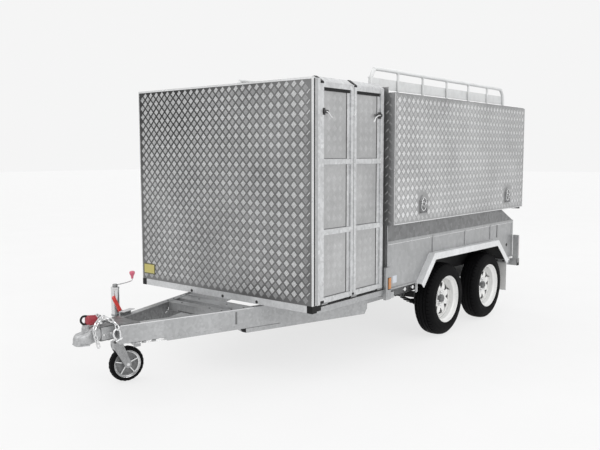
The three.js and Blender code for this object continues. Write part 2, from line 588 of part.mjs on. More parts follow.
add('jockey_wheel', smallWheel, 'rubber');
const CRANK_REACH = 150;
const crankArm = [[0, 700], [60, 703], [120, 708], [CRANK_REACH - 4, 716], [CRANK_REACH, 740]];
const crankKnob = [[0, 728], [8, 728], [10, 742], [19, 758], [20, 772], [13, 782], [0, 784]];
add('jockey_crank', union([
  rod([jx, jy, 690 + GAP], [jx, jy, 712], 14, 16),
  swept(crankArm.map(([y, z]) => [jx, jy + y, z]), 5, 16, 8),
  turned(crankKnob, 16, 'z').translate(jx, jy + CRANK_REACH, 0),
]), 'red');
const LEVER_Z = 518;
const leverFoot = fromTube(42, LEVER_Z);
const leverTip = [leverFoot[0] - 4, leverFoot[1] - 58, 632];
add('jockey_lever', union([
  rod(leverFoot, leverTip, 9, 12),
  rod(fromTube(33, LEVER_Z), fromTube(faceDistance - 10 - GAP, LEVER_Z), 11, 16),
]), 'red');

// ---- centre the assembly ----
const bounds = new THREE.Box3().setFromObject(trailer);
const shift = -(bounds.min.y + bounds.max.y) / 2;
trailer.children.forEach((mesh) => mesh.geometry.translate(0, shift, 0));

export default trailer;
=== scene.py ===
"""Looks for the tandem-axle canopy trailer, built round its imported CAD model.

Metres, +Z up, +Y to the rear, +X to the ramp side. Places are given in millimetres from the
front wall and turned into the row frame by at(), so they read like the CAD's own dimensions.
Boxes, profiles, radii and bevels are in millimetres too.
"""
import json
import math

import bmesh
import bpy
from mathutils import Matrix, Vector


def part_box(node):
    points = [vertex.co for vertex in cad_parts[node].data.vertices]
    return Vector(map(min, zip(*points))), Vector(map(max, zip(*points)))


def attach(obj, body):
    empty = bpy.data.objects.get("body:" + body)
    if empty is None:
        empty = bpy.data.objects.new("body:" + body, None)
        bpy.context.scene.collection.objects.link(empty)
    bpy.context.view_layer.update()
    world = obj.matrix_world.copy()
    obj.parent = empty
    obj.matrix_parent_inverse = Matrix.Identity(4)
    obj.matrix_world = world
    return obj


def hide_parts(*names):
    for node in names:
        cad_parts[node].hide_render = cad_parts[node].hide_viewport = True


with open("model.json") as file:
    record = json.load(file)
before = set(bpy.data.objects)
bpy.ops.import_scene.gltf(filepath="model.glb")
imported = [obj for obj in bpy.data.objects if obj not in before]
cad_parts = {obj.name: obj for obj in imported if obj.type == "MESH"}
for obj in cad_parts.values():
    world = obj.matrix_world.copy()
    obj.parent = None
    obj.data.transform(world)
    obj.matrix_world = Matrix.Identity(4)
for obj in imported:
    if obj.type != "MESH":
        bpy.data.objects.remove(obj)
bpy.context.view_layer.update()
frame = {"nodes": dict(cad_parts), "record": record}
nodes = frame["nodes"]

MM = 0.001
WALL_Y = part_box("front_sheet")[0].y
SIDES = {"left": 1, "right": -1}
X, Y, Z = Vector((1, 0, 0)), Vector((0, 1, 0)), Vector((0, 0, 1))


def at(x, y, z):
    """A point in the row frame, from millimetres measured from the front wall."""
    return Vector((x * MM, WALL_Y + y * MM, z * MM))


# ---- materials ----
NOISE_LOW, NOISE_HIGH = 0.3, 0.7


def new_material(name, metallic=0.0, roughness=0.5, coat=0.0, specular=0.5):
    material = bpy.data.materials.new(name)
    material.use_nodes = True
    tree = material.node_tree
    shader = tree.nodes["Principled BSDF"]
    shader.inputs["Metallic"].default_value = metallic
    shader.inputs["Roughness"].default_value = roughness
    shader.inputs["Coat Weight"].default_value = coat
    shader.inputs["Specular IOR Level"].default_value = specular
    where = tree.nodes.new("ShaderNodeTexCoord")
    return material, tree, shader, where.outputs["Object"]


def noise(tree, where, scale, detail=3.0, rough=0.55, stretch=None):
    if stretch:
        mapping = tree.nodes.new("ShaderNodeMapping")
        mapping.inputs["Scale"].default_value = stretch
        tree.links.new(where, mapping.inputs["Vector"])
        where = mapping.outputs["Vector"]
    node = tree.nodes.new("ShaderNodeTexNoise")
    node.inputs["Scale"].default_value = scale
    node.inputs["Detail"].default_value = detail
    node.inputs["Roughness"].default_value = rough
    tree.links.new(where, node.inputs["Vector"])
    return node.outputs["Fac"]


def spangle(tree, where, scale):
    node = tree.nodes.new("ShaderNodeTexVoronoi")
    node.inputs["Scale"].default_value = scale
    tree.links.new(where, node.inputs["Vector"])
    split = tree.nodes.new("ShaderNodeSeparateColor")
    tree.links.new(node.outputs["Color"], split.inputs["Color"])
    return split.outputs["Red"]


def ramp(tree, value, stops):
    node = tree.nodes.new("ShaderNodeValToRGB")
    while len(node.color_ramp.elements) < len(stops):
        node.color_ramp.elements.new(0.5)
    for element, (place, colour) in zip(node.color_ramp.elements, stops):
        element.position = place
        element.color = (*colour, 1)
    tree.links.new(value, node.inputs["Fac"])
    return node.outputs["Color"]


def grey(level, tint=0.0):
    return (level * (1 - tint), level, level * (1 + tint))


def spread(tree, value, low, high, start=NOISE_LOW, end=NOISE_HIGH):
    """Maps start to end onto low to high; what lies outside is clamped."""
    node = tree.nodes.new("ShaderNodeMapRange")
    for socket, number in (("From Min", start), ("From Max", end), ("To Min", low), ("To Max", high)):
        node.inputs[socket].default_value = number
    tree.links.new(value, node.inputs["Value"])
    return node.outputs["Result"]


def mix(tree, factor, a, b, kind="MIX"):
    node = tree.nodes.new("ShaderNodeMix")
    node.data_type = "RGBA"
    node.blend_type = kind
    for value, socket in ((factor, 0), (a, 6), (b, 7)):
        if isinstance(value, bpy.types.NodeSocket):
            tree.links.new(value, node.inputs[socket])
        elif isinstance(value, tuple):
            node.inputs[socket].default_value = (*value, 1)
        else:
            node.inputs[socket].default_value = value
    return node.outputs[2]


def times(tree, a, b):
    return mix(tree, 1.0, a, b, "MULTIPLY")


def graded(tree, value, low, high, tint=0.0):
    """A grey between two levels, over the range that noise mostly stays in."""
    return ramp(tree, value, [(NOISE_LOW, grey(low, tint)), (NOISE_HIGH, grey(high, tint))])


def bump(tree, shader, value, strength, distance=0.001):
    node = tree.nodes.new("ShaderNodeBump")
    node.inputs["Strength"].default_value = strength
    node.inputs["Distance"].default_value = distance
    tree.links.new(value, node.inputs["Height"])
    tree.links.new(node.outputs["Normal"], shader.inputs["Normal"])


def galvanised(name, low, high, metallic=0.75, rough=(0.34, 0.55), cells=55.0):
    """Dipped zinc: crystals a couple of centimetres wide, cloudy patches and fine runs."""
    material, tree, shader, where = new_material(name, metallic)
    crystals = spangle(tree, where, cells)
    clouds = noise(tree, where, 5.0, 5.0, 0.6)
    runs = noise(tree, where, 22.0, 3.0, 0.6, (1, 1, 0.18))
    base = ramp(tree, crystals, [(0.0, grey(low, 0.012)), (1.0, grey(high, 0.012))])
    cloudy = times(tree, base, graded(tree, clouds, 0.84, 1.0))
    streaky = times(tree, cloudy, graded(tree, runs, 0.92, 1.0))
    tree.links.new(streaky, shader.inputs["Base Color"])
    tree.links.new(spread(tree, clouds, *rough), shader.inputs["Roughness"])
    bump(tree, shader, noise(tree, where, 160.0, 4.0), 0.12)
    return material


def plate(name, low, high, metallic, rough, grain=90.0, dark=None):
    """Mill-finish aluminium: fine rolled grain, handling marks and an uneven bloom.

    With dark, the plate darkens towards its top on the side away from the ramp: painted shade, for the
    dark surroundings that the plate reflects there.
    """
    material, tree, shader, where = new_material(name, metallic)
    bloom = noise(tree, where, 2.2, 4.0, 0.6)
    marks = noise(tree, where, grain, 3.0, 0.6)
    base = graded(tree, bloom, low, high, 0.006)
    # Painted shade: darker towards the top and towards the side away from the ramp.
    if dark is not None:
        split = tree.nodes.new("ShaderNodeSeparateXYZ")
        tree.links.new(where, split.inputs["Vector"])
        upward = spread(tree, split.outputs["Z"], 0, 1, 1.15, 1.9)
        sideways = spread(tree, split.outputs["X"], 0, 1, 0.55, -0.45)
        share = times(tree, times(tree, upward, sideways), spread(tree, bloom, 0.55, 1.0))
        base = mix(tree, share, base, grey(dark))
    fine = graded(tree, marks, 0.88, 1.0)
    tree.links.new(times(tree, base, fine), shader.inputs["Base Color"])
    tree.links.new(spread(tree, bloom, *rough), shader.inputs["Roughness"])
    bump(tree, shader, marks, 0.06)
    return material


DUST_GREY = 0.45


def coated(name, colour, rough, coat, dust, metallic=0.0, grain=220.0, shine=0.5):
    """Paint, rubber or moulded plastic, with dust in patches and a fine orange peel."""
    material, tree, shader, where = new_material(name, metallic, 0.4, coat, shine)
    shader.inputs["Coat Roughness"].default_value = 0.12
    patches = noise(tree, where, 9.0, 5.0, 0.65)
    grains = noise(tree, where, grain, 3.0, 0.6)
    dusty = tuple(c * (1 - dust) + DUST_GREY * dust for c in colour)
    dark = tuple(c * 0.88 for c in colour)
    base = ramp(tree, patches, [(0.32, dark), (0.55, colour), (0.8, dusty)])
    tree.links.new(base, shader.inputs["Base Color"])
    tree.links.new(spread(tree, patches, *rough), shader.inputs["Roughness"])
    bump(tree, shader, grains, 0.1, 0.0006)
    return material


def lens(name, colour):
    material, tree, shader, where = new_material(name, 0.0, 0.12, 0.6)
    shader.inputs["Coat Roughness"].default_value = 0.05
    cells = spangle(tree, where, 260.0)
    deep = tuple(c * 0.55 for c in colour)
    tree.links.new(ramp(tree, cells, [(0.0, deep), (1.0, colour)]), shader.inputs["Base Color"])
    bump(tree, shader, cells, 0.2)
    return material


MAT = {
    "galvanised": galvanised("galvanised", 0.46, 0.54),
    "galv_bright": galvanised("galv_bright", 0.62, 0.70, 0.55, (0.38, 0.55), 70.0),
    "galv_dark": galvanised("galv_dark", 0.17, 0.25, 0.7, (0.4, 0.6)),
    "ramp_zinc": galvanised("ramp_zinc", 0.60, 0.74, 0.6, (0.36, 0.52), 48.0),
    "ramp_panel": plate("ramp_panel", 0.42, 0.56, 0.75, (0.3, 0.44), 40.0),
    # Painted light: a brighter copy of the ramp panel, for the emboss bars of one lean.
    "ramp_emboss_painted_lit": plate("ramp_emboss_painted_lit", 0.50, 0.62, 0.75, (0.3, 0.44), 40.0),
    "chequer": plate("chequer", 0.15, 0.24, 0.85, (0.30, 0.44)),
    # Painted shade towards the front wall's upper corner away from the ramp.
    "front_plate_painted_shade": plate("front_plate_painted_shade", 0.15, 0.24, 0.85, (0.30, 0.44), dark=0.012),
    "lid_plate": plate("lid_plate", 0.34, 0.46, 0.8, (0.30, 0.44)),
    # Painted shade: a dimmer copy of the bright bars, for the lid bars of the other lean.
    "lid_bar_painted_shaded": plate("lid_bar_painted_shaded", 0.56, 0.66, 0.75, (0.28, 0.4)),
    "tub_zinc": galvanised("tub_zinc", 0.44, 0.50, 0.75, (0.34, 0.5), 30.0),
    # Painted shade: dark zinc for the band on the tub side below the lids' overhang.
    "skirt_painted_shade": galvanised("skirt_painted_shade", 0.21, 0.29, 0.8, (0.32, 0.48), 30.0),
    "guard": galvanised("guard_zinc", 0.80, 0.88, 0.45, (0.36, 0.5), 60.0),
    # Painted light and shade on tread bars: one lean takes the lit copy, the other lean the shaded copy.
    "bar_painted_lit": plate("bar_painted_lit", 0.66, 0.76, 0.7, (0.26, 0.36)),
    "bar_painted_shaded": plate("bar_painted_shaded", 0.30, 0.40, 0.8, (0.3, 0.42)),
    "trim": plate("trim", 0.74, 0.84, 0.65, (0.22, 0.34)),
    "tyre": coated("tyre_rubber", (0.0035, 0.0035, 0.004), (0.6, 0.8), 0, 0.006, shine=0.09),
    "rim_white": coated("rim_paint", (0.80, 0.80, 0.79), (0.24, 0.36), 0.4, 0.05),
    "black_steel": coated("black_paint", (0.009, 0.009, 0.0095), (0.45, 0.65), 0, 0.03, shine=0.2),
    "rack_coat": coated("rack_paint", (0.72, 0.73, 0.73), (0.3, 0.42), 0.2, 0.08),
    "flap_rubber": coated("flap_rubber", (0.70, 0.70, 0.69), (0.55, 0.7), 0, 0.1, 0, 90.0),
    "lamp_red": lens("lens_red", (0.62, 0.02, 0.015)),
    "lamp_amber": lens("lens_amber", (0.62, 0.24, 0.05)),
    "lamp_clear": lens("lens_clear", (0.8, 0.8, 0.78)),
    "zinc": galvanised("zinc_plate", 0.34, 0.44, 0.85, (0.2, 0.36), 140.0),
    "cast": galvanised("cast_zinc", 0.44, 0.58, 0.6, (0.36, 0.52), 90.0),
    "chain": plate("chain_steel", 0.74, 0.86, 0.85, (0.18, 0.3)),
    "chrome": plate("chrome_tube", 0.62, 0.72, 1.0, (0.08, 0.16)),
    "red_plastic": coated("red_dip", (0.66, 0.045, 0.035), (0.28, 0.4), 0.3, 0.05),
    "pink_knob": coated("knob_plastic", (0.62, 0.13, 0.2), (0.3, 0.42), 0.3, 0.06),
    "maroon_grip": coated("grip_plastic", (0.34, 0.03, 0.045), (0.35, 0.5), 0.2, 0.06),
    "solid_rubber": coated("jockey_rubber", (0.0035, 0.0035, 0.004), (0.5, 0.65), 0, 0.006, shine=0.09),
    "latch_black": coated("latch_paint", (0.03, 0.03, 0.032), (0.3, 0.45), 0.1, 0.06),
    "cap_black": coated("cap_plastic", (0.007, 0.007, 0.0075), (0.4, 0.55), 0, 0.02, shine=0.25),
    "bolt_dark": coated("bolt_dark", (0.05, 0.05, 0.05), (0.35, 0.5), 0, 0.1, 0.4),
    "yellow": coated("yellow_plate", (0.50, 0.44, 0.13), (0.3, 0.42), 0.1, 0.15),
    "olive": coated("plate_edge", (0.10, 0.095, 0.03), (0.4, 0.5), 0, 0.1),
    "label": coated("blank_label", (0.56, 0.59, 0.64), (0.3, 0.4), 0.1, 0.1),
}


ROUNDED_ABOVE, CRISP_ABOVE = 35, 38  # degrees between faces


def soften(obj, width):
    """Small rolled edges, so corners catch the light as folded sheet does."""
    edge = obj.modifiers.new("edges", "BEVEL")
    edge.width = width * MM
    edge.segments = 2
    edge.limit_method = "ANGLE"
    edge.angle_limit = math.radians(ROUNDED_ABOVE)
    edge.harden_normals = False


# ---- mesh building ----
def add_object(name, data):
    obj = bpy.data.objects.new(name, data)
    bpy.context.scene.collection.objects.link(obj)
    return obj


class Piece:
    """One visible piece: closed solids gathered in a bmesh, each with a look."""

    def __init__(self, name, body, slot, looks):
        self.name, self.body, self.slot, self.looks = name, body, slot, looks
        self.bm = bmesh.new()

    def colour(self, faces, look):
        """Gives faces one of the piece's looks; the first is the default."""
        index = self.looks.index(look) if look else 0
        for face in faces:
            face.material_index = index
        return faces

    def loft(self, rings, look=None, closed=False):
        """Skins equal rings of points. The ends are capped unless the loft closes on itself."""
        rows = [[self.bm.verts.new(p) for p in ring] for ring in rings]
        count = len(rows[0])
        faces = []
        pairs = list(zip(rows, rows[1:])) + ([(rows[-1], rows[0])] if closed else [])
        for a, b in pairs:
            for i in range(count):
                j = (i + 1) % count
                faces.append(self.bm.faces.new((a[i], a[j], b[j], b[i])))
        if not closed:
            faces.append(self.bm.faces.new(list(reversed(rows[0]))))
            faces.append(self.bm.faces.new(rows[-1]))
        return self.colour(faces, look)

    def box(self, a, b, look=None):
        """A block between two opposite corners, in millimetres from the front wall, in either order."""
        lo, hi = Vector(map(min, at(*a), at(*b))), Vector(map(max, at(*a), at(*b)))
        mid, half = (lo + hi) / 2, (hi - lo) / 2
        rings = []
        for k in (-1, 1):
            corners = ((-1, -1), (1, -1), (1, 1), (-1, 1))
            rings.append([mid + Vector((half.x * i, half.y * j, half.z * k)) for i, j in corners])
        return self.loft(rings, look)

    def slab(self, corner, a, b, depth, look=None):
        """A block from a corner along two edges and a depth vector."""
        ring = [corner, corner + a, corner + a + b, corner + b]
        return self.loft([ring, [p + depth for p in ring]], look)

    def prism(self, outline, depth, look=None):
        """An outline of points in space, pushed along depth."""
        return self.loft([list(outline), [p + depth for p in outline]], look)

    def rod(self, a, b, radius, look=None, segments=16):
        return self.lathe(a, b - a, [(radius, 0), (radius, (b - a).length / MM)], look, segments)

    def lathe(self, origin, axis, profile, look=None, segments=32, closed=False, wobble=None):
        """Turns (radius, height) points in mm about an axis. wobble(i, k) scales a radius."""
        axis = axis.normalized()
        side = axis.orthogonal().normalized()
        up = axis.cross(side)
        rings = []
        for k, (radius, height) in enumerate(profile):
            ring = []
            for i in range(segments):
                angle = 2 * math.pi * i / segments
                r = radius * MM * (wobble(i, k) if wobble else 1)
                ring.append(origin + axis * (height * MM)
                    + (side * math.cos(angle) + up * math.sin(angle)) * r)
            rings.append(ring)
        return self.loft(rings, look, closed)

    def tube(self, points, radius, look=None, segments=12, steps=6, closed=False):
        """A round bar, its radius in mm, along a smooth path through the points."""
        path = smooth_path(points, steps, closed)
        rings = []
        normal = None
        count = len(path)
        for i, p in enumerate(path):
            ahead = path[(i + 1) % count] if closed else path[min(i + 1, count - 1)]
            behind = path[i - 1] if closed else path[max(i - 1, 0)]
            tangent = (ahead - behind).normalized()
            if normal is None:
                normal = tangent.orthogonal().normalized()
            normal = (normal - tangent * normal.dot(tangent)).normalized()
            other = tangent.cross(normal)
            ring = []
            for k in range(segments):
                angle = 2 * math.pi * k / segments
                ring.append(p + (normal * math.cos(angle) + other * math.sin(angle)) * (radius * MM))
            rings.append(ring)
        return self.loft(rings, look, closed)

    def bolt(self, where, out, across=13.0, look=None, washer=True):
        """A hexagon head on a washer, standing along out."""
        r = across / 2
        if washer:
            self.lathe(where, out, [(r * 1.75, 0), (r * 1.75, 1.6)], look, 20)
        self.lathe(where, out, [(r * 1.15, 0.5), (r * 1.15, 6.5), (r * 0.95, 7.6)], look, 6)
        self.lathe(where, out, [(r * 0.55, 1), (r * 0.55, 10)], look, 10)

    def mesh(self):
        bmesh.ops.recalc_face_normals(self.bm, faces=self.bm.faces)
        mesh = bpy.data.meshes.new(self.name)
        self.bm.to_mesh(mesh)
        self.bm.free()
        return mesh

    def done(self, bevel=0.0, replaces=()):
        """Makes the object. replaces lists the CAD nodes that it stands for."""
        obj = add_object(self.name, self.mesh())
        for look in self.looks:
            obj.data.materials.append(MAT[look])
        if bevel:
            soften(obj, bevel)
        shade(obj)
        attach(obj, self.body)
        if replaces:
            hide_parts(*replaces)
        return obj


def shade(obj):
    """Smooth shading that keeps real corners crisp."""
    mesh = obj.data
    mesh.polygons.foreach_set("use_smooth", [True] * len(mesh.polygons))
    mesh.set_sharp_from_angle(angle=math.radians(CRISP_ABOVE))


def smooth_path(points, steps, closed=False):
    """Catmull-Rom points through the given ones."""
    if steps < 2:
        return list(points)
    count = len(points)
    path = []
    for i in range(count if closed else count - 1):
        pick = [(i + k) % count if closed else min(max(i + k, 0), count - 1) for k in (-1, 0, 1, 2)]
        a, b, c, d = (points[k] for k in pick)
        for s in range(steps):
            t = s / steps
            path.append(0.5 * ((2 * b) + (c - a) * t + (2 * a - 5 * b + 4 * c - d) * t * t
                + (3 * b - a - 3 * c + d) * t ** 3))
    if not closed:
        path.append(points[-1])
    return path


# ---- five-bar tread ----
GROUP_PITCH = 69 * MM
BAR_LENGTH, BAR_WIDTH, BAR_PITCH, BAR_HEIGHT = 43 * MM, 6.2 * MM, 7.2 * MM, 1.5 * MM
BARS_IN_GROUP = 5
BAR_SINK, MARGIN = 0.2 * MM, 4 * MM


# The finish pair paints light and shade by lean: bars leaning one way take the first look, the others the
# second.
def tread(name, body, origin, across, upward, width, height, keep=None, bar_height=BAR_HEIGHT,
          finish=("bar_painted_lit", "bar_painted_shaded")):
    """Raised bars in crossed groups of five on a flat panel; keep(u, v) limits them to its outline."""
    out = across.cross(upward).normalized()
    half_pitch = GROUP_PITCH / 2
    section = [(-0.5, 0, 0), (-0.36, -0.5, 0), (0.36, -0.5, 0), (0.5, 0, 0), (0.36, 0.5, 0),
        (-0.36, 0.5, 0), (-0.34, 0, 1), (0.34, 0, 1)]
    bar_faces = [(0, 1, 6), (1, 2, 7, 6), (2, 3, 7), (3, 4, 7), (4, 5, 6, 7), (5, 0, 6),
        (5, 4, 3, 2, 1, 0)]
    verts, faces, looks = [], [], []
    for p in range(int(width / half_pitch) + 2):
        for q in range(int(height / half_pitch) + 2):
            if (p + q) % 2:
                continue
            lean = p % 2
            along = Vector((1, -1 if lean else 1)).normalized()
            cross = Vector((-along.y, along.x))
            for k in range(BARS_IN_GROUP):
                shift = (k - (BARS_IN_GROUP - 1) / 2) * BAR_PITCH
                mid = Vector((p * half_pitch, q * half_pitch)) + cross * shift
                ends = [mid + along * (BAR_LENGTH / 2 * s) for s in (-1, 1)]
                inside = all(MARGIN < e.x < width - MARGIN and MARGIN < e.y < height - MARGIN
                    for e in ends)
                if not inside or (keep and not all(keep(e.x, e.y) for e in ends)):
                    continue
                first = len(verts)
                for a, b, h in section:
                    flat = mid + along * (a * BAR_LENGTH) + cross * (b * BAR_WIDTH)
                    lift = h * bar_height - (0.0 if h else BAR_SINK)
                    verts.append(origin + across * flat.x + upward * flat.y + out * lift)
                faces.extend(tuple(first + i for i in f) for f in bar_faces)
                # Painted light and shade: each lean takes its own look.
                looks.extend([lean] * len(bar_faces))
    mesh = bpy.data.meshes.new(name)
    mesh.from_pydata(verts, [], faces)
    for look in finish:
        mesh.materials.append(MAT[look])
    mesh.polygons.foreach_set("material_index", looks)
    obj = add_object(name, mesh)
    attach(obj, body)
    return obj


# ---- CAD nodes that stay: finish and rolled edges ----
EDGE = 2
NODE_LOOK = {  # look and edge rounding; other nodes take their slot's look and EDGE
    # The front sheet's plate carries painted shade towards its upper corner away from the ramp.
    "front_frame": ("galv_bright", 3), "front_sheet": ("front_plate_painted_shade", 0), "bay_shell": ("chequer", 0),
    # The bulkhead takes the lighter lid plate: painted light on a face that lies in the ramp's shade.
    "bulkhead": ("lid_plate", 0), "canopy_roof": ("chequer", 1), "floor_plate": ("chequer", 0),
    "lid_left": ("lid_plate", 1), "lid_right": ("lid_plate", 1),
    "ramp_frame": ("ramp_zinc", 3), "ramp_plate": ("ramp_panel", 0),
    "mudguard_left": ("guard", 1), "mudguard_right": ("guard", 1),
    "mud_flap_left": ("flap_rubber", 1), "mud_flap_right": ("flap_rubber", 1),
    "canopy_frame": ("galvanised", 2), "chassis": ("galvanised", 3),
    "tub_side_left": ("tub_zinc", 1), "tub_side_right": ("tub_zinc", 1),
    "axle_front": ("black_steel", 3), "axle_rear": ("black_steel", 3),
    "coupling_mount": ("galv_dark", 2), "jockey_bracket": ("zinc", 2), "jockey_leg": ("chrome", 1),
}
for subpart in frame["record"]["subparts"]:
    node_name = subpart["node"]
    look, edge = NODE_LOOK.get(node_name, (subpart["material_slot"], EDGE))
    nodes[node_name].data.materials.clear()
    nodes[node_name].data.materials.append(MAT[look])
    if edge:
        soften(nodes[node_name], edge)
    shade(nodes[node_name])


# ---- tread panels ----
def panel(name, body, lo, hi, out, keep=None, **more):
    """Tread over the face of a box from lo to hi (mm) that looks along out."""
    a, b = at(*lo), at(*hi)
    if abs(out.x) > 0.5:
        across = Y if out.x > 0 else -Y
        face_x = max(a.x, b.x) if out.x > 0 else min(a.x, b.x)
        start = Vector((face_x, a.y if out.x > 0 else b.y, a.z))
        return tread(name, body, start, across, Z, abs(b.y - a.y), b.z - a.z, keep, **more)
    if abs(out.y) > 0.5:
        across = X if out.y < 0 else -X
        face_y = min(a.y, b.y) if out.y < 0 else max(a.y, b.y)
        start = Vector((a.x if out.y < 0 else b.x, face_y, a.z))
        return tread(name, body, start, across, Z, abs(b.x - a.x), b.z - a.z, keep, **more)
    return tread(name, body, Vector((a.x, a.y, max(a.z, b.z))), X, Y, b.x - a.x, b.y - a.y, keep, **more)


LID_LOW = 1066
LATCH_CLEAR = 70
LATCH_Y, LATCH_Z = [1402, 3098], 1190


def clear_of_latches(start, sign):
    """keep() for a lid, whose tread starts at y = start: bars stay off the latch plates."""
    def keep(u, v):
        y, z = start + sign * u / MM, LID_LOW + v / MM
        return not any(abs(y - latch) < LATCH_CLEAR and 1120 < z < 1296 for latch in LATCH_Y)
    return keep


panel("front_tread", "trailer", (-903, 0, 577), (903, 0, 2122), -Y)
panel("far_wall_tread", "trailer", (-915, 92, 560), (-915, 940, 2128), -X)
panel("bay_roof_tread", "trailer", (-912, 4, 2130), (828, 940, 2130), Z)
panel("bulkhead_tread", "trailer", (-968, 941.3, 566), (968, 941.3, 2126), -Y,
      lambda u, v: abs(u - 0.968) < 0.898 or (abs(u - 0.968) > 0.918 and 0.502 < v < 1.516))
panel("canopy_roof_tread", "trailer", (-940, 955, 2086), (940, 3484, 2086), Z,
      lambda u, v: not 0.165 < abs(u - 0.94) - 0.54 < 0.225)
for side_name, sign, first in (("left", 1, 953), ("right", -1, 3487)):
    # The lid bars take painted light on one lean and painted shade on the other.
    panel(f"lid_tread_{side_name}", f"lid_{side_name}", (sign * 970, 953, 1069), (sign * 970, 3487, 2080),
          X * sign, clear_of_latches(first, sign), finish=("bar_painted_lit", "lid_bar_painted_shaded"))
panel("bay_floor_tread", "trailer", (-860, 55, 561.3), (830, 936, 561.3), Z)


# ---- front wall ----
def trims():
    """Folded aluminium angle round the front wall."""
    p = Piece("front_trims", "trailer", "chequer", ["trim"])
    for s in (-1, 1):
        p.slab(at(s * 917, -1.6, 576), X * (-s * 7 * MM), Z * 1.555, Y * 1.5 * MM)
        p.slab(at(s * 916.6, -1.6, 576), X * (-s * 1.5 * MM), Z * 1.555, Y * 17 * MM)
    p.slab(at(-915, -1.7, 2118), X * 1.83, Z * 13 * MM, Y * 1.5 * MM)
    p.slab(at(-915, -1.7, 2129.6), X * 1.83, Z * 1.5 * MM, Y * 22 * MM)
    p.done(0.4)


def front_rail_details():
    p = Piece("front_rail_bolts", "trailer", "zinc", ["bolt_dark"])
    for x in (-306, 42, 395):
        p.bolt(at(x, 0, 541), -Y, 14)
    p.done(0.3)
    p = Piece("front_rail_caps", "trailer", "latch_black", ["cap_black"])
    for s in (-1, 1):
        p.box((s * 868, -2.5, 523.5), (s * 916.5, 51.5, 576.5))
        p.box((s * 863, 44, 533), (s * 917, 98, 573))
    p.done(2.5)
    p = Piece("front_marker_plate", "trailer", "chequer", ["olive", "yellow", "trim"])
    p.box((-893, -4.2, 622), (-753, -1.4, 708), "olive")
    p.box((-886, -5.2, 629), (-760, -4.0, 701), "yellow")
    for x, z in ((-882, 633), (-764, 633), (-882, 697), (-764, 697)):
        p.lathe(at(x, -5.1, z), -Y, [(2.6, 0), (2.0, 1.4)], "trim", 10)
    p.done(0.8)


def corner_posts():
    """Rubber seal and bright returns down the ramp side of the front corner."""
    p = Piece("corner_post_trims", "trailer", "galvanised", ["cap_black", "galvanised", "ramp_zinc"])
    p.slab(at(915.2, 19, 578), Y * 10 * MM, Z * 1.545, X * 1.2 * MM, "cap_black")
    p.slab(at(915.2, 30, 578), Y * 30 * MM, Z * 1.545, X * 1.0 * MM, "galvanised")
    p.slab(at(915.2, 62, 578), Y * 24 * MM, Z * 1.545, X * 1.0 * MM, "ramp_zinc")
    p.done(0.3)


# ---- ramp ----
RUNG_Z = [577, 1056, 1546, 2072]
RAMP_LEAVES = ((132, 452), (523, 843))
PLATE_FACE = 899
RAMP_LATCH_Z = 1908


def ramp_details():
    p = Piece("ramp_shadow_channels", "ramp", "galvanised", ["cap_black", "galv_dark", "bolt_dark",
        "ramp_zinc"])
    p.box((912.6, 486, 577), (913.6, 489, 2108), "cap_black")
    for y0, y1 in RAMP_LEAVES:
        p.box((PLATE_FACE + 0.1, y0 + 4, 2050), (905, y1 - 4, 2071.5), "cap_black")
        for low, high in zip(RUNG_Z, RUNG_Z[1:]):
            p.box((PLATE_FACE + 0.1, y1 - 41, low + 39), (901, y1 - 36, high - 1), "bolt_dark")
            p.box((PLATE_FACE + 0.1, y1 - 36.2, low + 39), (903, y1 - 0.4, high - 1), "ramp_zinc")
            p.box((PLATE_FACE + 0.1, y0 + 1, low + 39), (900.5, y1 - 42, low + 43), "galv_dark")
    p.done(0.3)
    p = Piece("ramp_welds", "ramp", "galvanised", ["ramp_zinc"])
    for z in RUNG_Z:
        for y, sign in ((132, 1), (452.5, -1), (522.5, 1), (843, -1)):
            p.tube([at(911, y + sign, z + 2), at(911.5, y + sign * 1.6, z + 19),
                at(911, y + sign, z + 36)], 2.4, None, 8, 4)
    p.done()
    p = Piece("ramp_hinge_pins", "ramp", "zinc", ["zinc", "bolt_dark"])
    for y in (100, 455, 803):
        p.rod(at(911, y, 573), at(911, y + 72, 573), 7, "zinc", 16)
        p.lathe(at(911, y - 3, 573), Y, [(9, 0), (9, 3)], "bolt_dark", 12)
    p.bolt(at(913, 487, 592), X, 12, "bolt_dark")
    p.done(0.3)
    p = Piece("ramp_panel_rivets", "ramp", "chequer", ["trim"])
    for z in range(640, 2060, 155):
        for y in (137, 448, 527, 838):
            p.lathe(at(PLATE_FACE, y, z), X, [(3.4, 0), (3, 1), (1.5, 1.8)], None, 10)
    p.done()
    p = Piece("ramp_frame_caps", "ramp", "latch_black", ["cap_black"])
    for y, width in ((93, 38), (490, 34)):
        p.prism([at(914, y, 2096), at(914, y, 2110), at(854, y, 2151), at(848, y, 2142)], Y * width * MM)
    p.box((890, 91.4, 571), (914.4, 133, 598))
    p.done(1)
    for k, (y0, y1) in enumerate(RAMP_LEAVES):
        for low, high in zip(RUNG_Z, RUNG_Z[1:]):
            # Emboss bars of one lean take the painted lit copy of the panel; the others take the panel
            # itself.
            panel(f"ramp_emboss_{k}_{low}", "ramp", (PLATE_FACE, y0 + 2, low + 44),
                (PLATE_FACE, y1 - 43, high - 26), X, bar_height=0.5 * MM,
                finish=("ramp_emboss_painted_lit", "ramp_panel"))


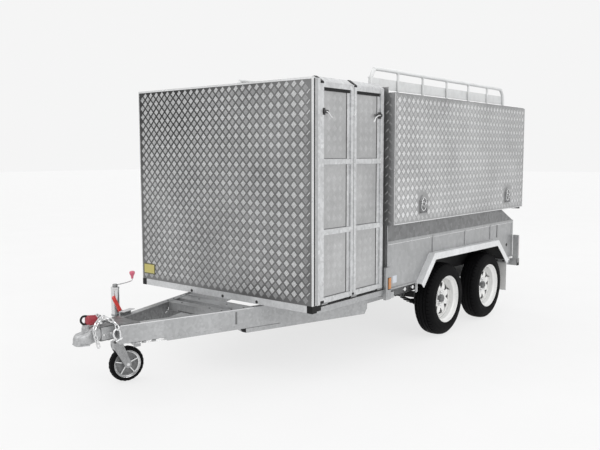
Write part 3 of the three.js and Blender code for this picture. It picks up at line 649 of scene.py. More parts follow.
def ramp_latches():
    for which, y, sign in (("front", 132, 1), ("rear", 833, -1)):
        p = Piece(f"ramp_latch_lever_{which}", f"ramp_latch_{which}", "latch_black",
            ["latch_black", "chain"])
        p.lathe(at(913.4, y, RAMP_LATCH_Z), X, [(14, 0), (14, 8), (12, 13), (7, 16)], "latch_black", 24)
        reach = 1.0 if which == "front" else 1.35
        p.box((913.4, y, 1895), (924, y + sign * 38 * reach, 1919), "latch_black")
        tail = y + sign * 72 * reach
        p.tube([at(921, y, RAMP_LATCH_Z), at(923, y + sign * 24 * reach, 1906),
            at(923, y + sign * 50 * reach, 1893), at(922, tail, RAMP_LATCH_Z - 36 * reach)], 4.6,
            "chain", 12)
        p.lathe(at(922, tail, RAMP_LATCH_Z - 36 * reach), Vector((0, sign * 0.7, -0.7)),
            [(2, -3), (6.5, 0), (6.5, 5), (2, 9)], "chain", 12)
        p.done(0.4, replaces=[f"ramp_latch_{which}"])
        k = Piece(f"ramp_latch_keeper_{which}", "ramp", "zinc", ["bolt_dark"])
        k.box((905, y - 16, 1884), (913.2, y + 16, 1932))
        k.done(1)
    p = Piece("ramp_latch_catch", "ramp", "zinc", ["trim"])
    p.box((913, 479, 1888), (919, 497, 1918))
    p.tube([at(918, 482, 1895), at(925, 488, 1890), at(925, 488, 1908), at(918, 494, 1913)], 2.5, None,
        10)
    p.done(0.6)


# ---- lids, latches and rear door ----
def lid_latches():
    for side, s in SIDES.items():
        for which, y in zip(("front", "rear"), LATCH_Y):
            p = Piece(f"lid_latch_{which}_{side}", f"lid_{side}", "zinc",
                ["galv_dark", "cap_black", "chain", "bolt_dark"])
            p.box((s * 976.5, y - 56, 1134), (s * 979, y + 56, 1238), "galv_dark")
            p.lathe(at(s * 976.5, y, LATCH_Z), X * s, [(41, 0), (41, 1.2), (38, 3.4), (33, 3.4),
                (31, 1.0), (31, 0)], "chain", 32)
            p.lathe(at(s * 977, y, LATCH_Z), X * s, [(30.5, 0), (30.5, 0.8)], "cap_black", 32)
            for dy, dz in ((-48, -48), (48, -48), (-48, 40), (48, 40)):
                p.lathe(at(s * 979, y + dy, LATCH_Z + dz), X * s, [(4, 0), (4, 1.6), (2, 2.6)],
                    "bolt_dark", 10)
            p.done(0.5)
            h = Piece(f"latch_turn_{which}_{side}", f"handle_{which}_{side}", "zinc", ["chain", "zinc"])
            h.lathe(at(s * 978, y, LATCH_Z), X * s, [(14, 0), (14, 3), (12, 6), (5, 7)], "zinc", 28)
            arc = [at(s * 981.5, y + 34 * math.cos(a), 1214 + 46 * math.sin(a))
                for a in [math.pi * k / 8 for k in range(9)]]
            h.tube([at(s * 981, y + 20, 1196), *arc, at(s * 981, y - 20, 1196)], 3.6, "chain", 12, 3)
            h.done(0.4, replaces=[f"latch_handle_{which}_{side}"])


KNUCKLE = 42


def lid_details():
    for side, s in SIDES.items():
        p = Piece(f"lid_trims_{side}", f"lid_{side}", "chequer", ["trim"])
        for y0, y1, z0, z1 in ((950, 3490, 1066, 1072), (950, 956, 1066, 2083), (3484, 3490, 1066, 2083)):
            p.box((s * 969.5, y0, z0), (s * 971.6, y1, z1))
        p.done(0.4)
        p = Piece(f"lid_hinge_{side}", f"lid_{side}", "zinc", ["zinc"])
        for y in range(960, 3470, 2 * KNUCKLE):
            p.rod(at(s * 957, y, 2085.5), at(s * 957, y + KNUCKLE - 2, 2085.5), 4.5, None, 12)
        p.done()
        p = Piece(f"roof_hinge_{side}", "trailer", "zinc", ["zinc", "trim"])
        for y in range(960 + KNUCKLE, 3450, 2 * KNUCKLE):
            p.rod(at(s * 957, y, 2085.5), at(s * 957, y + KNUCKLE - 2, 2085.5), 4.5, "zinc", 12)
        p.box((s * 915, 955, 2086.2), (s * 953, 3484, 2088), "trim")
        p.done(0.4)
        p = Piece(f"lid_seal_{side}", f"lid_{side}", "solid_rubber", ["cap_black"])
        p.tube([at(s * 948, 985, 2052), at(s * 948, 985, 1098), at(s * 948, 3455, 1098),
            at(s * 948, 3455, 2052)], 3.0, None, 8, 1)
        p.done()


def rear_door():
    """Tread-plate door on a folded frame, hinged along its top edge."""
    p = Piece("rear_door_panel", "rear_door", "chequer", ["chequer", "trim", "galvanised"])
    p.box((-940, 3503.2, 1068), (940, 3506.2, 2080), "chequer")
    for x0, x1, z0, z1 in ((-940, 940, 1068, 1095), (-940, 940, 2053, 2080), (-940, -913, 1094, 2054),
            (913, 940, 1094, 2054)):
        p.box((x0, 3487.5, z0), (x1, 3504, z1), "galvanised")
    for x0, x1, z0, z1 in ((-940, 940, 1068, 1080), (-940, 940, 2068, 2080), (-940, -928, 1078, 2070),
            (928, 940, 1078, 2070)):
        p.box((x0, 3506, z0), (x1, 3507.7, z1), "trim")
    p.done(0.6, replaces=["rear_door"])
    panel("rear_door_tread", "rear_door", (-926, 3506.2, 1082), (926, 3506.2, 2066), Y, lambda u,
        v: not (abs(u - 0.926) < 0.075 and v < 0.145), bar_height=1.5 * MM)
    p = Piece("rear_door_latch", "rear_door", "zinc", ["zinc", "latch_black", "chain"])
    p.box((-60, 3505, 1098), (60, 3507.4, 1206), "zinc")
    p.lathe(at(0, 3506.6, 1152), Y, [(30, 0), (28, 1.1)], "latch_black", 28)
    p.box((-8, 3506.6, 1118), (8, 3507.9, 1186), "chain")
    p.done(0.4)
    p = Piece("rear_door_hinges", "trailer", "zinc", ["zinc"])
    for x in (-700, 0, 700):
        p.rod(at(x - 45, 3485, 2088), at(x + 45, 3485, 2088), 4, None, 14)
        p.box((x - 45, 3452, 2086.4), (x + 45, 3486, 2089))
    p.done(0.4)


# ---- roof rack ----
RACK_POSTS = [1370, 1780, 2220, 2660, 3080]


def racks():
    for side, s in SIDES.items():
        x = s * 735
        p = Piece(f"rack_rail_{side}", "trailer", "rack_coat", ["rack_coat", "bolt_dark"])
        path = [(966, 2088), (966, 2175), (978, 2235), (1012, 2276), (1080, 2290), (1700, 2290),
            (2700, 2290), (3345, 2290), (3413, 2276), (3453, 2235), (3467, 2175), (3467, 2088)]
        p.tube([at(x, y, z) for y, z in path], 15.8, "rack_coat", 20, 5)
        for y in RACK_POSTS:
            p.rod(at(x, y, 2088), at(x, y, 2288), 11, "rack_coat", 16)
            p.lathe(at(x, y, 2264), Z, [(11, 0), (14, 9), (14, 14)], "rack_coat", 16)
        p.box((s * 722, 952, 2138), (s * 726, 3475, 2220), "rack_coat")
        for z0, z1 in ((2138, 2142), (2216, 2220)):
            p.box((s * 714, 952, z0), (s * 724, 3475, z1), "rack_coat")
        for y in (976, *RACK_POSTS, 3457):
            p.box((x - 28, y - 24, 2086.4), (x + 28, y + 24, 2091.3), "rack_coat")
            for dx in (-20, 20):
                p.bolt(at(x + dx, y + (13 if y < 3400 else -13), 2091), Z, 8, "bolt_dark", False)
        p.done(0.8, replaces=[f"rack_{side}"])


# ---- tub, marker lamps and mudguards ----
SKIRT_FACE = 912.1


def tub_details():
    for side, s in SIDES.items():
        p = Piece(f"tub_fittings_and_painted_reflection_{side}", "trailer", "zinc", ["chain", "cap_black", "label", "bolt_dark",
            "trim"])
        for y, z in ((1210, 520), (1335, 520), (3300, 526)):
            p.lathe(at(s * 905, y, z), X * s, [(6, 0), (6, 16), (15, 17), (15, 20), (10, 23)], "chain",
                20)
        p.lathe(at(s * 911.5, 3250, 680), X * s, [(17, 0), (17, 2.6), (12, 3.4)], "bolt_dark", 24)
        p.lathe(at(s * 911.8, 3250, 680), X * s, [(12, 0), (11, 3.8)], "cap_black", 24)
        p.box((s * 912, 1035, 590), (s * 912.8, 1098, 650), "label")
        # Painted reflection: a dark vertical stripe on the tub side near the rear.
        p.box((s * 912, 3000, 778), (s * 914, 3012, 904), "bolt_dark")
        p.box((s * 911, 960, 905), (s * 916.5, 3398, 909), "trim")
        p.done(0.6)
        # The band's outline is the real one; its darkness is painted shade from the lids' overhang, on a
        # thin sheet over the tub side.
        band = Piece(f"skirt_shade_band_{side}", "trailer", "galvanised", ["skirt_painted_shade"])
        outline = ((960, 933), (3374, 933), (3068, 1070), (960, 1070))
        band.prism([at(s * SKIRT_FACE, y, z) for y, z in outline], X * s * 0.8 * MM)
        band.done(0)
        p = Piece(f"marker_lamp_{side}", "trailer", "lamp_red", ["lamp_amber", "cap_black"])
        p.box((s * 939.5, 924, 556), (s * 942, 968, 652), "cap_black")
        p.prism([at(s * 941.8, 928, 560), at(s * 948, 932, 565), at(s * 948, 960, 565),
            at(s * 941.8, 964, 560)], Z * 88 * MM, "lamp_amber")
        p.done(0.8)
        # Painted shadow: thin black sheets under the mudguard arch, where the inside of the guard lies in
        # shade.
        p = Piece(f"guard_painted_shadow_{side}", "trailer", "galvanised", ["black_steel"])
        arch = [(1406, 541), (1623, 768), (2927, 758.5), (3174, 541)]
        for (y0, z0), (y1, z1) in zip(arch, arch[1:]):
            ring = [at(s * 749, y0, z0 - 2.2), at(s * 966, y0, z0 - 2.2), at(s * 966, y1, z1 - 2.2),
                at(s * 749, y1, z1 - 2.2)]
            p.prism(ring, Z * -1.2 * MM)
        p.box((s * 748.6, 1412, 541), (s * 750, 3170, 545), "black_steel")
        p.prism([at(s * 748.4, y, z - 4) for y, z in arch], X * s * 1.2 * MM)
        p.done()
        p = Piece(f"guard_brackets_{side}", "trailer", "galvanised", ["galv_bright", "bolt_dark"])
        p.box((s * 905, 1398, 462), (s * 924, 1402, 552), "galv_bright")
        p.box((s * 905, 1398, 462), (s * 909, 1440, 552), "galv_bright")
        p.box((s * 752, 3182, 500), (s * 940, 3185.5, 538), "galv_bright")
        for x in (780, 846, 912):
            p.bolt(at(s * x, 3182, 519), -Y, 11, "bolt_dark")
        p.done(0.8)


# ---- rear ----
def rear_details():
    p = Piece("rear_bar_caps", "trailer", "latch_black", ["cap_black"])
    for s in (-1, 1):
        p.box((s * 967, 3398, 448), (s * 972.5, 3451, 522))
        p.box((s * 893, 3478, 1044), (s * 946, 3487.2, 1068))
    p.done(1.5)
    for side, s in SIDES.items():
        p = Piece(f"tail_light_{side}", "trailer", "lamp_red", ["cap_black", "lamp_red", "lamp_amber"])
        p.box((s * 921, 3428.4, 545), (s * 971, 3436, 755), "cap_black")
        for z0, z1, look in ((549, 612, "lamp_red"), (616, 684, "lamp_amber"), (688, 751, "lamp_red")):
            p.box((s * 924.5, 3436, z0), (s * 967.5, 3450, z1), look)
            for k in range(5):
                z = z0 + 8 + k * (z1 - z0 - 16) / 4
                p.box((s * 928, 3449.6, z - 2.5), (s * 964, 3452, z + 2.5), look)
        p.done(1.2, replaces=[f"tail_lamp_{side}"])
    p = Piece("tailgate_fittings", "tailgate", "galvanised", ["galvanised", "zinc", "bolt_dark"])
    for x in (-560, -280, 0, 280, 560):
        p.box((x - 18, 3388, 606), (x + 18, 3393, 896), "galvanised")
    for s in (-1, 1):
        p.box((s * 790, 3398, 856), (s * 872, 3401, 916), "zinc")
        p.tube([at(s * 800, 3401, 886), at(s * 806, 3416, 886), at(s * 850, 3416, 886),
            at(s * 856, 3401, 886)], 5, "zinc", 12, 4)
        p.lathe(at(s * 600, 3398, 592), X, [(8, -40), (8, 40)], "bolt_dark", 14)
    p.done(0.8)
    p = Piece("plate_lamp", "trailer", "latch_black", ["cap_black", "lamp_clear"])
    p.box((-55, 3450, 486), (55, 3474, 512), "cap_black")
    p.box((-46, 3456, 481.5), (46, 3470, 487), "lamp_clear")
    p.done(2)


# ---- wheels ----
TREAD_BLOCKS = 54
TYRE_HALF = [  # radius and height from the middle plane, from the bead to the middle of the tread
    (203, 79), (207, 86), (213, 89.5), (216, 88.2), (219, 90.8), (238, 92.4), (252, 92.4), (255, 91.2),
    (258, 92.2), (276, 88.6), (288, 83.5), (291, 81.2), (294, 81.4), (303, 74.5), (310, 68.5),
    (314, 64.5), (318, 57), (320.6, 47), (315, 46), (315.6, 40), (322.6, 39), (324.6, 21), (318.5, 20),
    (318.5, 14), (325, 13),
]
SHOULDER_ROWS, RIB_ROWS = range(14, 18), (20, 21)
NOTCH_EDGES = (0, 0.07, 0.17, 0.24)
NOTCH_DEPTH, RIB_DEPTH = 6.0, 3.0


def round_x(angle):
    """The unit vector at an angle round the X axis, from +Y towards +Z."""
    return Y * math.cos(angle) + Z * math.sin(angle)


def mirrored(half):
    """A whole profile from the half on one side of a wheel's middle plane."""
    return half + [(r, -h) for r, h in reversed(half)]


def tyre(which, side):
    s = SIDES[side]
    lo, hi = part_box(f"tyre_{which}_{side}")
    centre = (lo + hi) / 2
    angles = [(block + part) * 2 * math.pi / TREAD_BLOCKS for block in range(TREAD_BLOCKS)
        for part in NOTCH_EDGES]
    profile = mirrored(TYRE_HALF)
    count = len(profile)
    p = Piece(f"tyre_tread_{which}_{side}", f"wheel_{which}_{side}", "tyre", ["tyre"])
    rings = []
    for k, (radius, height) in enumerate(profile):
        from_edge = min(k, count - 1 - k)
        shoulder, rib = from_edge in SHOULDER_ROWS, from_edge in RIB_ROWS
        ring = []
        for i, angle in enumerate(angles):
            depth = 0.0
            if i % 4 in (1, 2):  # between two blocks; the ribs are cut at every other gap
                depth = NOTCH_DEPTH if shoulder else RIB_DEPTH if rib and (i // 4) % 2 else 0.0
            slant = 0.03 * height / 40 if rib or shoulder else 0.0
            r = (radius - depth) * MM
            ring.append(centre + X * (s * height * MM) + round_x(angle + slant) * r)
        rings.append(ring)
    p.loft(rings, None, closed=True)
    p.done(0, replaces=[f"tyre_{which}_{side}"])


RIM_OUTLINE = [  # radius and height towards the outside, round the whole section
    (196, 62), (200, 70), (203, 79), (205, 85.5), (208, 87.8), (211, 86), (210.5, 82), (207.5, 84),
    (206, 79), (204.5, 71), (200, 60), (186.5, 54), (185, 20), (178, 12), (175.5, -30), (186, -58),
    (199, -64), (203, -80), (207, -87), (204, -89), (199.5, -82), (196, -68), (183, -62), (172, -34),
    (174.5, 8), (181.5, 16), (183, 50),
]
DISC = [  # radius and height of the pressed disc's outer face
    (34, 6), (48, 6), (68, 8), (79, 16), (90, 21), (106, 23.5), (124, 22.5), (143, 16), (157, 6),
    (176, -12),
]
HOLE_RINGS = range(4, 7)
SPOKES, SPOKE_COLUMNS, HOLE_COLUMNS = 8, 6, (2, 3)
DISC_THICK = 4.0
SPOKE_INNER, SPOKE_SPREAD = 0.06, 0.22  # radians
WHEEL_NUTS, VALVE_ANGLE = 6, 0.39


def spoke_disc(p, centre, out, look):
    """A pressed disc with triangular holes: a polar grid whose columns follow the holes' sides."""
    sector = 2 * math.pi / SPOKES
    first, last = DISC[HOLE_RINGS[0]][0], DISC[HOLE_RINGS[-1] + 1][0]
    front, back = [], []
    for radius, height in DISC:
        share = min(max((radius - first) / (last - first), 0), 1)
        w = SPOKE_INNER + SPOKE_SPREAD * share
        columns = [-sector / 2, -(sector / 2 + w) / 2, -w, 0, w, (sector / 2 + w) / 2]
        row_f, row_b = [], []
        for k in range(SPOKES):
            for column in columns:
                spot = centre + round_x(k * sector + column) * (radius * MM)
                row_f.append(p.bm.verts.new(spot + out * (height * MM)))
                row_b.append(p.bm.verts.new(spot + out * ((height - DISC_THICK) * MM)))
        front.append(row_f)
        back.append(row_b)
    count = len(front[0])
    kept = {(i, j) for i in range(len(DISC) - 1) for j in range(count)
        if not (i in HOLE_RINGS and j % SPOKE_COLUMNS in HOLE_COLUMNS)}
    faces = []
    for i, j in kept:
        n = (j + 1) % count
        faces.append(p.bm.faces.new((front[i][j], front[i][n], front[i + 1][n], front[i + 1][j])))
        faces.append(p.bm.faces.new((back[i + 1][j], back[i + 1][n], back[i][n], back[i][j])))
        for di, dj, (a, b), (c, d) in ((-1, 0, (i, j), (i, n)), (1, 0, (i + 1, n), (i + 1, j)),
                (0, -1, (i + 1, j), (i, j)), (0, 1, (i, n), (i + 1, n))):
            if (i + di, (j + dj) % count) not in kept:
                faces.append(p.bm.faces.new((front[a][b], back[a][b], back[c][d], front[c][d])))
    p.colour(faces, look)


def wheel(which, side):
    s = SIDES[side]
    tyre_lo, tyre_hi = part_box(f"tyre_{which}_{side}")
    centre, out = (tyre_lo + tyre_hi) / 2, X * s
    p = Piece(f"rim_spoked_{which}_{side}", f"wheel_{which}_{side}", "rim_white",
        ["rim_white", "galv_dark", "chain", "cap_black"])
    p.lathe(centre, out, RIM_OUTLINE, "rim_white", 72, closed=True)
    spoke_disc(p, centre, out, "rim_white")
    p.lathe(centre, out, [(62, -74), (62, 1), (40, 3), (35, 8), (34, 26), (32.5, 32), (33.5, 33),
        (31, 40), (22, 45), (6, 46.5)], "galv_dark", 40)
    for k in range(WHEEL_NUTS):
        spot = centre + round_x(2 * math.pi * k / WHEEL_NUTS + 0.3) * (57 * MM)
        p.lathe(spot, out, [(10.5, 5), (11.5, 10), (11.5, 23), (8, 27), (3, 29)], "chain", 6)
    radial = round_x(VALVE_ANGLE)
    stem = centre + radial * (166 * MM)
    p.lathe(stem, out - radial * 0.35, [(6, -12), (5, 16), (3.8, 17), (3.6, 30)], "cap_black", 12)
    p.done(0.6, replaces=[f"rim_{which}_{side}"])
    drum = Piece(f"brake_drum_{which}_{side}", f"wheel_{which}_{side}", "black_steel", ["black_steel"])
    drum.lathe(centre, out, [(55, -76), (146, -74), (150, -68), (150, -26), (142, -14), (63, -6)], None,
        48)
    drum.done(1.5)


# ---- springs ----
WHEEL_Y = [1921, 2776]
EYE_Z, HALF_SPRING, LEAF_SAG = 386, 360, 92.5
LEAVES = 6


def springs():
    for side, s in SIDES.items():
        x0, x1 = sorted((s * 627, s * 683))
        p = Piece(f"leaf_springs_{side}", "trailer", "black_steel", ["black_steel", "bolt_dark"])
        for yc in WHEEL_Y:
            for leaf in range(LEAVES):
                reach = HALF_SPRING - 54 * leaf - (12 if leaf else 0)
                rings = []
                for k in range(13):
                    y = yc - reach + 2 * reach * k / 12
                    t = (y - yc) / HALF_SPRING
                    top = EYE_Z + 4 - LEAF_SAG * (1 - t * t) - 8 * leaf
                    rings.append([at(x0, y, top), at(x1, y, top), at(x1, y, top - 7.2),
                        at(x0, y, top - 7.2)])
                p.loft(rings, "black_steel")
            for y in (yc - HALF_SPRING, yc + HALF_SPRING):
                p.rod(at(x0 - 2, y, EYE_Z), at(x1 + 2, y, EYE_Z), 14, "black_steel", 20)
                p.bolt(at(s * 685, y, EYE_Z), X * s, 18, "bolt_dark")
            p.box((x0 - 6, yc - 55, 245), (x1 + 6, yc + 55, 252), "black_steel")
            for dy in (-36, 36):
                bend = [at(x0 - 4, yc + dy, 240), at(x0 - 4, yc + dy, 344), at(x0 + 4, yc + dy, 354),
                    at(x1 - 4, yc + dy, 354), at(x1 + 4, yc + dy, 344), at(x1 + 4, yc + dy, 240)]
                p.tube(bend, 6, "bolt_dark", 10, 3)
        mid = sum(WHEEL_Y) / 2
        p.prism([at(x0 + 12, mid - 80, 374), at(x0 + 12, mid + 80, 374), at(x0 + 12, mid + 80, 392),
            at(x0 + 12, mid, 400), at(x0 + 12, mid - 80, 392)], X * (x1 - x0 - 24) * MM, "black_steel")
        p.done(1, replaces=[f"spring_{side}"])
        h = Piece(f"spring_hangers_{side}", "trailer", "galvanised", ["galv_dark"])
        for y in (WHEEL_Y[0] - HALF_SPRING, mid, WHEEL_Y[1] + HALF_SPRING):
            for x in (x0 - 5, x1 + 1):
                h.prism([at(x, y - 45, 401), at(x, y - 20, 368), at(x, y + 20, 368), at(x, y + 45, 401)],
                    X * 4 * MM)
        h.done(0.8)


# ---- drawbar ----
RAIL_ANGLE = math.radians(17)
RAIL_START = Vector((152, -800, 0))
RAIL_TOP, CROSSMEMBER_TOP = 505, 502
RAIL_DIR = Vector((math.sin(RAIL_ANGLE), math.cos(RAIL_ANGLE), 0))
RAIL_OUT = Vector((math.cos(RAIL_ANGLE), -math.sin(RAIL_ANGLE), 0))


def on_rail(s, along, z, out=0.0):
    """A point on a drawbar rail's outer face; s is 1 on the ramp side, -1 on the other."""
    p = RAIL_START + RAIL_DIR * along + RAIL_OUT * out
    return at(s * p.x, p.y, z)


def rail_vector(s, v):
    return Vector((s * v.x, v.y, v.z))


def drawbar_details():
    p = Piece("drawbar_fittings_and_painted_light", "trailer", "galvanised", ["bolt_dark", "galv_bright", "galv_dark",
        "cap_black", "trim"])
    for s in (-1, 1):
        out, run = rail_vector(s, RAIL_OUT), rail_vector(s, RAIL_DIR)
        for a in (560, 640, 742, 822):
            p.lathe(on_rail(s, a, RAIL_TOP, -26), Z, [(7, 0), (7, 2), (3, 3)], "bolt_dark", 14)
        # Painted highlight: a bright strip along the top of the rail's outer face.
        p.slab(on_rail(s, -190, 500, 0.1), run * 1.0, Z * 5 * MM, out * 0.0009, "trim")
        # Painted shade: a dark sheet over the rail's inner face.
        p.slab(on_rail(s, -20, 383, -50.1), run * 0.74, Z * 0.118, out * -0.0012, "galv_dark")
        p.slab(on_rail(s, 745, 358, 0.2), run * 0.30, Z * -0.003, out * 0.002, "galv_dark")
        p.prism([on_rail(s, 700, 357), on_rail(s, 745, 357), on_rail(s, 745, 326), on_rail(s, 712, 336)],
            out * 0.0012, "cap_black")
        # Painted highlight: a bright strip along the rail's top edge.
        p.slab(on_rail(s, -196, 504.4), run * 1.10, out * -0.002, Z * 0.0012, "galv_bright")
        p.slab(on_rail(s, 660, 398, 0.1), run * 0.012, Z * 0.09, out * 0.004, "galv_dark")
    for y in (-239, -65):
        for x in (-150, 150):
            p.lathe(at(x, y, CROSSMEMBER_TOP), Z, [(8, 0), (8, 2), (4, 3)], "bolt_dark", 14)
    # Painted shade: a dark strip along the bottom of the front crossmember's face.
    p.slab(at(-150, -278.6, 441), X * 0.30, Z * 0.010, Y * -0.0012, "galv_dark")
    p.done(0.4)
    w = Piece("drawbar_welds", "trailer", "galvanised", ["galv_dark"])
    for s in (-1, 1):
        for a in range(-150, 690, 60):
            w.tube([on_rail(s, a, 382, -3), on_rail(s, a + 22, 381, -2), on_rail(s, a + 44, 382, -3)],
                2.4, None, 8, 3)
    w.done()
    b = Piece("brake_rod", "trailer", "zinc", ["chain", "zinc"])
    b.tube([on_rail(1, -120, 372, -18), on_rail(1, 60, 362, -20), on_rail(1, 240, 360, -22),
        on_rail(1, 640, 352, -24)], 3.2, "chain", 10)
    for a in (-110, -40, 30):
        b.rod(on_rail(1, a, 371, -18), on_rail(1, a + 26, 370, -18), 8, "zinc", 12)
    b.slab(on_rail(1, -92, 384, -40), rail_vector(1, RAIL_DIR) * 0.05, RAIL_OUT * 0.004, Z * -0.046,
        "zinc")
    b.done(0.5)
    g = Piece("gusset_wire", "trailer", "zinc", ["chain"])
    g.tube([at(-262, -284, 470), at(-238, -296, 452), at(-262, -306, 440), at(-236, -318, 436),
        at(-252, -330, 424)], 3, None, 8, 4)
    g.done()


# ---- coupling, chains ----
HITCH_Y = -1212
HEAD_SECTIONS = [  # y, half width, underside, top
    (-1092.4, 36, 415, 506), (-1106, 36.5, 413, 511), (-1129, 38.5, 410, 517.5), (-1151, 41, 406, 516),
    (-1169, 43.5, 403, 506), (-1183, 45, 402.4, 496), (-1197, 45.8, 402.4, 490),
    (-1217, 45, 402.6, 487.5), (-1235, 42, 403.4, 484.5), (-1248, 36, 405, 476), (-1257, 29, 407.5, 466),
    (-1262, 22, 412, 455),
]


HANDLE_LOOP = [
    (-1160, 536), (-1190, 538), (-1209, 553), (-1213, 573), (-1200, 589), (-1178, 590), (-1160, 583),
]
GRIP_SECTIONS = [
    (-1178, 9, 530, 586), (-1173, 13, 525, 592), (-1150, 14, 524, 589), (-1120, 14, 524, 582),
    (-1098, 13, 524, 576), (-1093, 10, 528, 570),
]
GRIP_RIB = [(-1160, 12, 590), (-1157, 14.5, 592), (-1153, 14.5, 591.5), (-1150, 12, 589)]


def rounded_ring(y, half, low, high, power=3.6, count=28):
    """A section across the trailer: a rectangle with corners as round as the power says."""
    mid, tall = (low + high) / 2, (high - low) / 2
    ring = []
    for k in range(count):
        a = 2 * math.pi * k / count
        c, d = math.cos(a), math.sin(a)
        reach = (abs(c) ** power + abs(d) ** power) ** (-1 / power)
        ring.append(at(half * c * reach, y, mid + tall * d * reach))
    return ring


def hollowed(obj, origin, axis, profile):
    """Cuts a turned cavity into a piece and keeps the result as plain mesh."""
    tool = Piece("cavity_tool", "trailer", "zinc", ["cast"])
    tool.lathe(origin, axis, profile, None, 32)
    cutter = add_object("cavity_tool", tool.mesh())
    step = obj.modifiers.new("cavity", "BOOLEAN")
    step.operation, step.solver, step.object = "DIFFERENCE", "EXACT", cutter
    bpy.context.view_layer.update()
    made = bpy.data.meshes.new_from_object(obj.evaluated_get(bpy.context.evaluated_depsgraph_get()))
    obj.modifiers.clear()
    obj.data = made
    bpy.data.objects.remove(cutter)
    shade(obj)


def coupling():
    p = Piece("coupling_casting", "trailer", "zinc", ["cast"])
    p.loft([rounded_ring(*section) for section in HEAD_SECTIONS])
    body = p.done(0, replaces=["coupling_head"])
    hollowed(body, at(0, HITCH_Y, 396), Z, [(26.6, 0), (26.6, 26), (25.5, 33), (21, 40), (12, 44)])
    p = Piece("coupling_fittings", "trailer", "zinc", ["cast", "chain"])
    p.lathe(at(0, -1178, 470), Z, [(27, 0), (25, 18), (21, 40), (20, 56), (22, 60), (22, 65)], "cast", 28)
    for s in (-1, 1):
        p.prism([at(s * 41, -1252, 411), at(s * 41, -1180, 403), at(s * 41, -1180, 411),
            at(s * 41, -1250, 419)], X * s * 4 * MM, "cast")
        for y in (-1070, -1015):
            p.bolt(at(s * 36, y, 452), X * s, 15, "chain")
        p.bolt(at(s * 40, -1140, 455), X * s, 12, "chain")
        p.box((s * 36, -1089, 418), (s * 39, -960, 500), "cast")
    for k in range(4):
        p.box((-34, -1100 - k * 9, 505 + k * 1.6), (34, -1096 - k * 9, 514 + k * 1.6), "cast")
    p.done(1)
    h = Piece("coupling_loop_handle", "coupling_handle", "red_plastic", ["cap_black", "maroon_grip"])
    h.tube([at(0, y, z) for y, z in HANDLE_LOOP], 7, "cap_black", 16, 4)
    h.loft([rounded_ring(*section, 4.0, 20) for section in GRIP_SECTIONS], "maroon_grip")
    for k in range(4):
        h.loft([rounded_ring(y + 15 * k, half, 540, top - 2 * k, 4.0, 16) for y, half, top in GRIP_RIB],
            "maroon_grip")
    h.done(0, replaces=["coupling_handle"])


def link_loop(p, centre, run, flat, length, width, wire, steps=5):
    """One oval chain link: run is its long way, flat its short way. steps is for each end."""
    run, flat = run.normalized(), flat.normalized()
    half, turn = (length - width) / 2, width / 2 - wire
    path = []
    for end, start in ((1, -math.pi / 2), (-1, math.pi / 2)):
        for k in range(steps + 1):
            a = start + math.pi * k / steps
            reach = run * (end * half + math.cos(a) * turn) + flat * (math.sin(a) * turn)
            path.append(centre + reach * MM)
    p.tube(path, wire, None, 8, 1, closed=True)


CHAIN_PATH = [  # from the shackle over the coupling's side and down
    (92, -1006, 468), (88, -1004, 500), (72, -1017, 532), (52, -1045, 558), (36, -1073, 568),
    (48, -1126, 543), (60, -1158, 500), (62, -1147, 446), (60, -1130, 396),
]
LINK_PITCH, LINK_LENGTH, LINK_WIDTH, LINK_WIRE = 31, 48, 31, 5
SHACKLE_BOW = [  # across and up, from one eye round to the other
    (-16, -40), (-19, -16), (-26, 8), (-22, 30), (0, 44), (22, 30), (26, 8), (19, -16), (16, -40),
]


def chains():
    for side, s in SIDES.items():
        path = smooth_path([at(s * x, y, z) for x, y, z in CHAIN_PATH], 24)
        p = Piece(f"chain_links_{side}", "trailer", "zinc", ["chain"])
        gone, links = 0.0, 0
        for a, b in zip(path, path[1:]):
            gone += (b - a).length
            if gone < LINK_PITCH * MM:
                continue
            gone -= LINK_PITCH * MM
            run = (b - a).normalized()
            twist = Matrix.Rotation(math.radians(35 + 90 * (links % 2)), 3, run)
            flat = twist @ run.orthogonal().normalized()
            link_loop(p, b, run, flat, LINK_LENGTH, LINK_WIDTH, LINK_WIRE)
            links += 1
        p.done(0, replaces=[f"safety_chain_{side}"])
        d = Piece(f"chain_shackle_{side}", "trailer", "zinc", ["chain", "bolt_dark"])
        top, low = at(s * 95, -1021, 490), at(s * 95, -993, 401)
        foot, run = (top + low) / 2, (low - top).normalized()
        wide = run.cross(X * s).normalized()
        d.tube([foot + wide * w * MM - run * r * MM for w, r in SHACKLE_BOW], 6.2, "chain", 12, 4)
        pin = foot + run * 34 * MM
        d.rod(pin + wide * 32 * MM, pin - wide * 28 * MM, 6, "chain", 14)
        d.lathe(pin + wide * 28 * MM, wide, [(10, 0), (10, 7)], "bolt_dark", 12)
        d.done(0)


# ---- jockey wheel ----
JOCKEY = (-251, -766)
CASTER = math.radians(16)
TRAIL, SMALL_R = 68, 127
LUG_ROWS, LUG_SHARE = (5, 6, 7, 14, 15, 16), 0.975


POST = at(*JOCKEY, 0)
POST_OUT = Vector((math.cos(RAIL_ANGLE), math.sin(RAIL_ANGLE), 0))
CASTER_TURN = Matrix.Rotation(-CASTER, 3, "Z")
AXLE_LINE = CASTER_TURN @ X


def caster(x, y, z):
    """A point of the castered fork: x along its axle, y along its trail, z up, in mm."""
    return POST + CASTER_TURN @ Vector((x * MM, y * MM, 0)) + Z * z * MM


